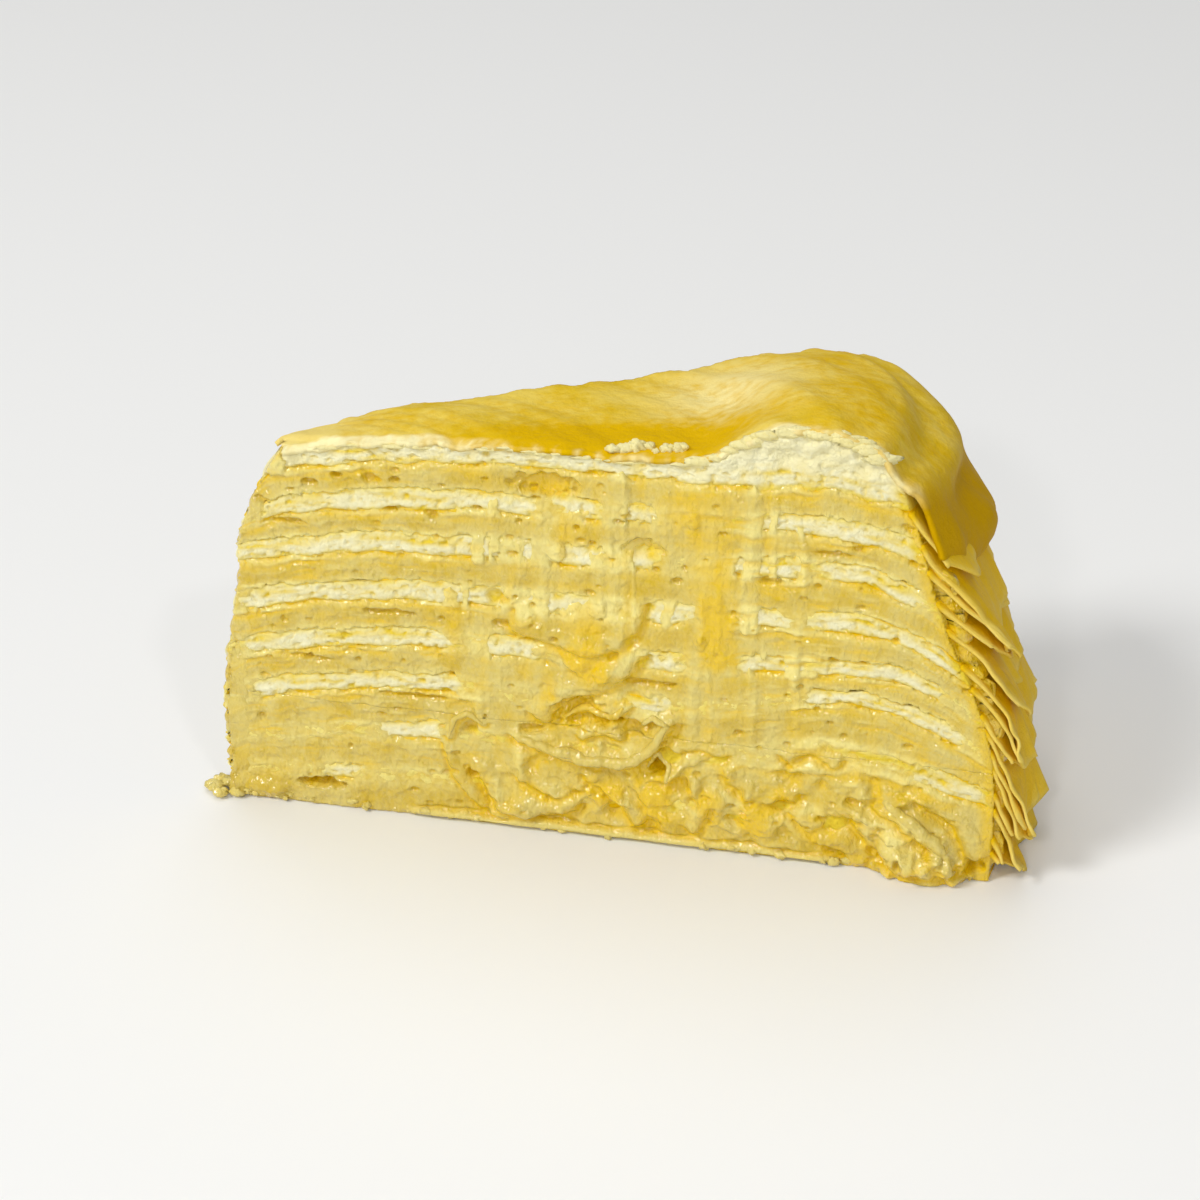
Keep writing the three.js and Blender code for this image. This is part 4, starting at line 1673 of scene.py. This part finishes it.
@dataclass(frozen=True)
class Blob:
    """A torn lump: its middle, its half sizes and how rough it is."""

    PALE = 0.5
    DENT_SHADE = 0.4

    middle: Triple
    half: Triple
    rough: float
    rings: int

    def shell(self, noise: Noise, seed: float) -> Shell:
        """Builds the lump.

        Args:
            noise: What roughens it.
            seed: Place in the noise, so that no two lumps are alike.

        Returns:
            Its closed mesh.
        """
        polar = np.linspace(0.0, math.pi, self.rings + 1)[1:-1, None]
        turn = np.arange(2 * self.rings)[None, :] * math.pi / self.rings
        way = around_tip(np.sin(polar), turn, np.cos(polar))
        poles = np.array([[0.0, 0.0, 1.0], [0.0, 0.0, -1.0]])
        way = np.concatenate([way.reshape(-1, 3), poles])
        lumps = noise.layered(way[:, 0] * 1.7 + way[:, 2] + seed, way[:, 1] * 1.7 + seed, 3)
        size = 1.0 + self.rough * lumps
        points = np.array(self.middle) + way * size[:, None] * np.array(self.half)
        number = np.arange(polar.size * turn.size).reshape(polar.size, turn.size)
        ring = closed_ring(number)
        north = np.full(turn.size, number.size)
        top = np.stack([north, ring[0, :-1], ring[0, 1:]], axis=-1)
        bottom = np.stack([north + 1, ring[-1, 1:], ring[-1, :-1]], axis=-1)
        paint = np.zeros((len(points), 3))
        paint[:, 0] = self.PALE
        # Dents are painted deep gold, as shade in them.
        paint[:, 1] = np.clip(-0.9 * (size - 1.0) / self.rough, 0.0, 1.0) * self.DENT_SHADE
        return Shell(points, grid_quads(ring).reshape(-1, 4), np.concatenate([top, bottom]), paint)


def scatter_blobs(seed: int, count: int, place: Callable[[np.random.Generator], Triple], size: Span) -> Shell:
    """Makes many small lumps.

    Args:
        seed: Seed of their places and shapes.
        count: How many.
        place: Draws the middle of one.
        size: Smallest and largest half size.

    Returns:
        All of them in one mesh.
    """
    rng = np.random.default_rng(seed)
    noise = Noise(seed)
    shells = []
    for index in range(count):
        half = rng.uniform(*size)
        halves = (half * rng.uniform(0.8, 1.6), half * rng.uniform(0.7, 1.2), half * rng.uniform(0.6, 1.0))
        shells.append(Blob(place(rng), halves, 0.55, 9).shell(noise, 7.7 * index))
    return Shell.joined(shells)


class Graph:
    """A material in the making: its nodes and what they feed."""

    def __init__(self, name: str) -> None:
        """Starts a material with nothing but its Principled shader.

        Args:
            name: Name of the material.
        """
        self.material = bpy.data.materials.new(name)
        self.material.use_nodes = True
        self.nodes = self.material.node_tree.nodes
        self.shader = self.nodes["Principled BSDF"]

    def fill(self, node: bpy.types.Node, values: dict[str, object]) -> None:
        """Sets or feeds the sockets of a node.

        Args:
            node: The node.
            values: For each socket, its value or the output that feeds it.
        """
        for name, value in values.items():
            if isinstance(value, Socket):
                self.material.node_tree.links.new(value, node.inputs[name])
            else:
                node.inputs[name].default_value = value

    def add(self, kind: str, output: str, values: dict[str, object], **options: str) -> Socket:
        """Adds a node.

        Args:
            kind: What kind of shader node.
            output: Name of the output that is wanted.
            values: For each socket, its value or the output that feeds it.
            options: The node's other settings.

        Returns:
            The output.
        """
        node = self.nodes.new(f"ShaderNode{kind}")
        for name, value in options.items():
            setattr(node, name, value)
        self.fill(node, values)
        return node.outputs[output]


@dataclass(frozen=True)
class Finish:
    """The surface of one food: its colours, how it shines and how rough it is.

    The paint of a mesh says where the colours go: its red is the share of what is smeared over the
    food, its green that of the deep colour, and its blue that of the browned one. The deep colour is
    partly the food's own deeper tone and partly painted shade in creases, grooves, pits and dents.
    """

    name: str
    pale: Triple
    rich: Triple
    deep: Triple
    smeared: Triple
    roughness: Span
    mottle_scale: float
    bump_scale: float
    bump_height: float
    coat: float = 0.0
    specular: float = 0.5
    browned: Triple | None = None
    streak: float = 1.0

    def material(self) -> bpy.types.Material:
        """Builds the material.

        Returns:
            A node material on one Principled shader.
        """
        graph = Graph(self.name)
        place = graph.add("TexCoord", "Object", {})
        stretched = graph.add("Mapping", "Vector", {"Vector": place, "Scale": (1.0, 1.0, self.streak)})
        parts = graph.nodes.new("ShaderNodeSeparateColor")
        graph.fill(parts, {"Color": graph.add("Attribute", "Color", {}, attribute_name="paint")})

        def noise(scale: float, detail: float, roughness: float) -> Socket:
            """Adds noise.

            Args:
                scale: Bumps in a metre.
                detail: How many finer sizes it has.
                roughness: How strong the finer sizes are.

            Returns:
                The noise, around 0.5.
            """
            values = {"Vector": stretched, "Scale": scale, "Detail": detail, "Roughness": roughness}
            return graph.add("TexNoise", "Fac", values)

        def blend(share: Socket, first: Triple | Socket, second: Triple | Socket) -> Socket:
            """Adds a change from one colour to another.

            Args:
                share: How far it goes, from 0 to 1.
                first: The colour at 0.
                second: The colour at 1.

            Returns:
                The mixed colour.
            """
            values = {"Factor": share}
            for name, colour in (("A", first), ("B", second)):
                values[name] = (*colour, 1.0) if isinstance(colour, tuple) else colour
            return graph.add("Mix", "Result", values, data_type="RGBA")

        def bump(height: float, source: Socket) -> Socket:
            """Adds bumps of this height, in metres, and gives the normals that they make."""
            values = {"Distance": height, "Strength": 1.0, "Height": source}
            return graph.add("Bump", "Normal", values)

        patches = {"Value": noise(self.mottle_scale, 8.0, 0.72), "From Min": 0.36, "From Max": 0.64}
        mottle = graph.add("MapRange", "Result", patches, interpolation_type="SMOOTHSTEP")
        colour = blend(mottle, self.pale, self.rich)
        colour = blend(parts.outputs["Red"], colour, blend(mottle, self.smeared, self.pale_smear()))
        if self.browned:
            colour = blend(parts.outputs["Blue"], colour, self.browned)
        wet = {"Value": noise(self.bump_scale * 0.4, 3.0, 0.5)}
        wet["To Min"], wet["To Max"] = self.roughness
        graph.fill(graph.shader, {
            "Base Color": blend(parts.outputs["Green"], colour, self.deep),
            "Roughness": graph.add("MapRange", "Result", wet),
            "Normal": bump(self.bump_height, noise(self.bump_scale, 4.0, 0.6)),
            "Coat Normal": bump(2.0 * self.bump_height, noise(self.bump_scale * 0.5, 2.0, 0.5)),
            "Coat Weight": self.coat,
            "Coat Roughness": 0.05,
            "Specular IOR Level": self.specular,
        })
        return graph.material

    def pale_smear(self) -> Triple:
        """A slightly paler shade of what is smeared over this food."""
        return tuple(min(1.0, part * 1.12 + 0.02) for part in self.smeared)


CREAMY = (0.79, 0.67, 0.20)

FINISHES = {
    "pulp": Finish(
        "fruit_pulp", pale=(0.69, 0.545, 0.13), rich=(0.63, 0.43, 0.012), deep=(0.80, 0.53, 0.001),
        smeared=CREAMY, roughness=(0.2, 0.4), mottle_scale=170.0, bump_scale=1500.0, bump_height=0.0004,
        coat=1.0, specular=0.3, streak=0.6,
    ),
    "cream": Finish(
        "whipped_cream", pale=(0.90, 0.858, 0.57), rich=(0.87, 0.805, 0.47), deep=(0.81, 0.60, 0.04),
        smeared=CREAMY, roughness=(0.45, 0.7), mottle_scale=260.0, bump_scale=2200.0, bump_height=0.0003,
        specular=0.1,
    ),
    "crepe": Finish(
        "crepe", pale=(0.82, 0.64, 0.13), rich=(0.77, 0.54, 0.02), deep=(0.79, 0.49, 0.0005),
        smeared=(0.90, 0.82, 0.42), roughness=(0.4, 0.6), mottle_scale=220.0, bump_scale=1300.0,
        bump_height=0.0002, specular=0.05,
    ),
    # Its deep colour is painted shade on the drape, and its smeared colour is both the cream on the front
    # edge and painted highlights on the dome and near the tip.
    "top_crepe": Finish(
        "golden_crepe", pale=(0.78, 0.585, 0.10), rich=(0.68, 0.455, 0.012), deep=(0.56, 0.32, 0.0001),
        smeared=(0.88, 0.79, 0.42), roughness=(0.42, 0.6), mottle_scale=90.0, bump_scale=900.0,
        bump_height=0.00025, specular=0.02, browned=(0.69, 0.42, 0.0001),
    ),
}


@dataclass(frozen=True)
class Placement:
    """Where the tip of the slice lies in the frame, in metres."""

    tip: Vector

    @staticmethod
    def from_frame(stack: Stack) -> "Placement":
        """Works the tip's place out from the lowest crepe, which starts beside it.

        Args:
            stack: Heights and outline of the layers.

        Returns:
            The placement.
        """
        low, high = (Vector(corner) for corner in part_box("crepe_00"))
        start = stack.tip * math.cos(HALF_CUT) * METRES
        return Placement(Vector((low.x - start, (low.y + high.y) / 2.0, low.z)))

    def point(self, x: float, y: float, z: float) -> Vector:
        """A point given in millimetres from the tip, in metres of the frame."""
        return self.tip + Vector((x, y, z)) * METRES


class Kitchen:
    """Turns shells into dressed pieces that ride on the frame."""

    def __init__(self, placement: Placement) -> None:
        """Prepares the finishes."""
        self.placement = placement
        self.materials = {slot: finish.material() for slot, finish in FINISHES.items()}

    def piece(self, name: str, shell: Shell, slot: str, nodes: Sequence[str]) -> bpy.types.Object:
        """Makes a piece, hangs it on the frame and hides the nodes that it replaces.

        Args:
            name: Name of the piece.
            shell: Its mesh.
            slot: Its material slot.
            nodes: The nodes that it replaces.

        Returns:
            The piece.
        """
        mesh = bpy.data.meshes.new(name)
        points = shell.points * METRES + np.array(self.placement.tip)
        mesh.vertices.add(len(points))
        mesh.vertices.foreach_set("co", points.astype(np.float32).ravel())
        corners = np.concatenate([shell.quads.ravel(), shell.triangles.ravel()])
        sizes = np.concatenate([np.full(len(shell.quads), 4), np.full(len(shell.triangles), 3)])
        mesh.loops.add(len(corners))
        mesh.loops.foreach_set("vertex_index", corners.astype(np.int32))
        mesh.polygons.add(len(sizes))
        starts = np.concatenate([[0], np.cumsum(sizes)[:-1]])
        mesh.polygons.foreach_set("loop_start", starts.astype(np.int32))
        mesh.polygons.foreach_set("use_smooth", np.ones(len(sizes), dtype=bool))
        mesh.update(calc_edges=True)
        mesh.validate()
        colours = np.concatenate([shell.paint, np.ones((len(points), 1))], axis=1)
        attribute = mesh.color_attributes.new("paint", "FLOAT_COLOR", "POINT")
        attribute.data.foreach_set("color", colours.astype(np.float32).ravel())
        mesh.materials.append(self.materials[slot])
        made = bpy.data.objects.new(name, mesh)
        bpy.context.scene.collection.objects.link(made)
        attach(made, BODY)
        if nodes:
            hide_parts(*nodes)
        log.info("%s: %d points, %d faces", name, len(points), len(sizes))
        return made


@dataclass(frozen=True)
class Lamp:
    """A square soft light: its place from the tip in millimetres, its width in metres and its watts."""

    name: str
    place: Triple
    size: float
    power: float


LAMPS = (
    Lamp("key_light", (-1300.0, -700.0, 1500.0), 0.5, 21.5),
    Lamp("top_light", (0.0, 700.0, 1800.0), 1.4, 10.5),
    Lamp("front_light", (-100.0, -1500.0, 900.0), 0.45, 3.6),
    Lamp("glint_light", (-220.0, -800.0, 560.0), 0.07, 1.3),
    Lamp("second_glint_light", (320.0, -650.0, 700.0), 0.06, 0.8),
)


class Studio:
    """Floor, lights and camera."""

    FLOOR_HALF = 4.0
    FLOOR_SHADES = ((0.86, 0.86, 0.85, 1.0), (0.9, 0.9, 0.89, 1.0))
    LIT_POINT = (60.0, 0.0, 30.0)
    EYE = (46.9, -298.4, 196.3)
    LOOKED_AT = (56.8, 34.7, 12.3)
    LENS = 72.0
    SENSOR = 36.0
    NEAREST_SEEN = 0.01
    SKY = (1.0, 1.0, 0.99, 1.0)
    SKY_STRENGTH = 0.28

    def __init__(self, placement: Placement) -> None:
        """Keeps where the slice is."""
        self.placement = placement

    def floor(self) -> None:
        """Lays the pale floor that the slice stands on."""
        mesh = bpy.data.meshes.new("floor")
        corners = [(x * self.FLOOR_HALF, y * self.FLOOR_HALF, 0.0)
                   for x, y in ((-1.0, -1.0), (1.0, -1.0), (1.0, 1.0), (-1.0, 1.0))]
        mesh.from_pydata(corners, [], [(0, 1, 2, 3)])
        graph = Graph("pale_floor")
        tone = graph.nodes.new("ShaderNodeValToRGB")
        for stop, shade in zip(tone.color_ramp.elements, self.FLOOR_SHADES):
            stop.color = shade
        graph.fill(tone, {"Fac": graph.add("TexNoise", "Fac", {"Scale": 3.0})})
        graph.fill(graph.shader, {"Base Color": tone.outputs["Color"], "Roughness": 0.6})
        mesh.materials.append(graph.material)
        floor = bpy.data.objects.new("floor", mesh)
        bpy.context.scene.collection.objects.link(floor)

    def put(self, name: str, data: bpy.types.ID, place: Triple, target: Triple) -> bpy.types.Object:
        """Puts a light or a camera in the scene.

        Args:
            name: Its name.
            data: What it is.
            place: Its place from the tip, in millimetres.
            target: What it faces, in the same way.

        Returns:
            The object.
        """
        made = bpy.data.objects.new(name, data)
        made.location = self.placement.point(*place)
        way = self.placement.point(*target) - made.location
        made.rotation_euler = way.to_track_quat("-Z", "Y").to_euler()
        bpy.context.scene.collection.objects.link(made)
        return made

    def light(self, lamp: Lamp) -> None:
        """Hangs a light that faces the slice.

        Args:
            lamp: The light.
        """
        data = bpy.data.lights.new(lamp.name, "AREA")
        data.shape = "SQUARE"
        data.size = lamp.size
        data.energy = lamp.power
        self.put(lamp.name, data, lamp.place, self.LIT_POINT)

    def camera(self) -> None:
        """Sets the camera in front of the cut, about three times as high as the slice."""
        data = bpy.data.cameras.new("camera")
        data.lens = self.LENS
        data.sensor_width = self.SENSOR
        data.clip_start = self.NEAREST_SEEN
        bpy.context.scene.camera = self.put("camera", data, self.EYE, self.LOOKED_AT)

    def build(self) -> None:
        """Sets up the whole studio."""
        self.floor()
        for lamp in LAMPS:
            self.light(lamp)
        world = bpy.data.worlds.new("studio")
        world.use_nodes = True
        background = world.node_tree.nodes["Background"]
        background.inputs["Color"].default_value = self.SKY
        background.inputs["Strength"].default_value = self.SKY_STRENGTH
        bpy.context.scene.world = world
        bpy.context.scene.view_settings.view_transform = "Standard"
        self.camera()


CREAM_CRUMBS = (
    (58.5, -0.93, (1.0, 0.7, 0.6)),
    (60.0, -0.89, (1.3, 0.9, 0.8)),
    (61.5, -0.86, (1.4, 1.0, 1.2)),
    (63.0, -0.83, (0.8, 0.7, 0.7)),
    (65.6, -0.88, (0.9, 0.8, 0.7)),
    (67.2, -0.86, (1.1, 0.8, 0.8)),
    (64.2, -0.92, (0.5, 0.4, 0.4)),
)


def cream_crumbs(stack: Stack) -> Shell:
    """Makes the crumbs of cream on the top crepe and the cream smeared along its front edge.

    Args:
        stack: Heights and outline of the layers.

    Returns:
        All of them in one mesh.
    """
    noise = Noise(83)
    shells = []
    for index, (radius, share, half) in enumerate(CREAM_CRUMBS):
        angle = share * HALF_CUT
        height = float(stack.top_height(radius, angle, stack.top)) + 0.1
        middle = (radius * math.cos(angle), radius * math.sin(angle), height)
        shells.append(Blob(middle, half, 0.6, 12).shell(noise, 3.3 * index))
    rng = np.random.default_rng(84)
    for index in range(70):
        radius = 94.0 - 76.0 * rng.uniform(0.0, 1.0) ** 1.7
        angle = -HALF_CUT - rng.uniform(-0.2, 0.25) / radius
        height = float(stack.top_height(radius, angle, stack.top))
        thick = rng.uniform(0.2, 0.35) + 0.35 * float(ease(62.0, 74.0, radius))
        middle = (radius * math.cos(angle), radius * math.sin(angle), height - rng.uniform(0.7, 1.2))
        shells.append(Blob(middle, (rng.uniform(0.8, 2.6), thick, thick), 0.45, 8).shell(noise, 5.1 * index))
    return Shell.joined(shells)


def pulp_crumbs() -> Shell:
    """Makes the torn scraps of pulp at the foot of the tip and along the foot of the front cut.

    Returns:
        All of them in one mesh.
    """
    def at_tip(rng: np.random.Generator) -> Triple:
        """Draws a place at the foot of the tip."""
        return (rng.uniform(-2.4, 6.0), rng.uniform(-1.8, 2.2), rng.uniform(0.7, 1.4))

    def along_foot(rng: np.random.Generator) -> Triple:
        """Draws a place along the foot of the front cut.

        Args:
            rng: What it is drawn from.

        Returns:
            The place.
        """
        radius = rng.uniform(6.0, 108.0)
        out = rng.uniform(-0.3, 0.5)
        return (radius * math.cos(HALF_CUT) - out * math.sin(HALF_CUT),
                -radius * math.sin(HALF_CUT) - out * math.cos(HALF_CUT), rng.uniform(0.5, 1.3))

    tip_scraps = scatter_blobs(seed=91, count=34, place=at_tip, size=(0.4, 1.0))
    foot_scraps = scatter_blobs(seed=92, count=60, place=along_foot, size=(0.25, 0.7))
    return Shell.joined([tip_scraps, foot_scraps])


def main() -> None:
    """Builds the slice and the studio around it."""
    logging.basicConfig(level=logging.INFO, format="%(message)s")
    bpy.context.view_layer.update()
    stack = Stack()
    placement = Placement.from_frame(stack)
    kitchen = Kitchen(placement)
    front = front_face(stack)
    back = back_face(stack)
    rim = Rim()
    for layer in lay_stack(stack):
        if layer.node == "top_crepe":
            kitchen.piece("golden_top_crepe", TopCrepe(stack, rim, layer).shell(), "top_crepe", [layer.node])
            continue
        shells = [LayerSlab(stack, layer, front, back).shell()]
        if layer.filling is None and layer.low > 0.0:
            shells.append(Margin(stack, rim, layer).shell())
        slot = layer.filling.value if layer.filling else "crepe"
        kitchen.piece(f"{layer.node}_torn", Shell.joined(shells), slot, [layer.node])
    smeared_pulp = {
        "pulp_smears_front": front.skin_shell(FOOT_TOP, ABOVE_ALL),
        "pulp_torn_foot": front.skin_shell(0.0, FOOT_TOP),
        "pulp_smears_back": back.skin_shell(0.0, ABOVE_ALL),
        "pulp_lips": Shell.joined([front.roll_shell(roll) for roll in FRONT_LIPS]),
        "rim_pulp": Shell.joined([rim.stuffing(stack, sign) for sign in (-1.0, 1.0)]),
    }
    for name, shell in smeared_pulp.items():
        kitchen.piece(name, shell, "pulp", [])
    kitchen.piece("cream_crumbs", cream_crumbs(stack), "cream", [])
    kitchen.piece("pulp_crumbs", pulp_crumbs(), "pulp", [])
    Studio(placement).build()


if __name__ == "__main__":
    main()
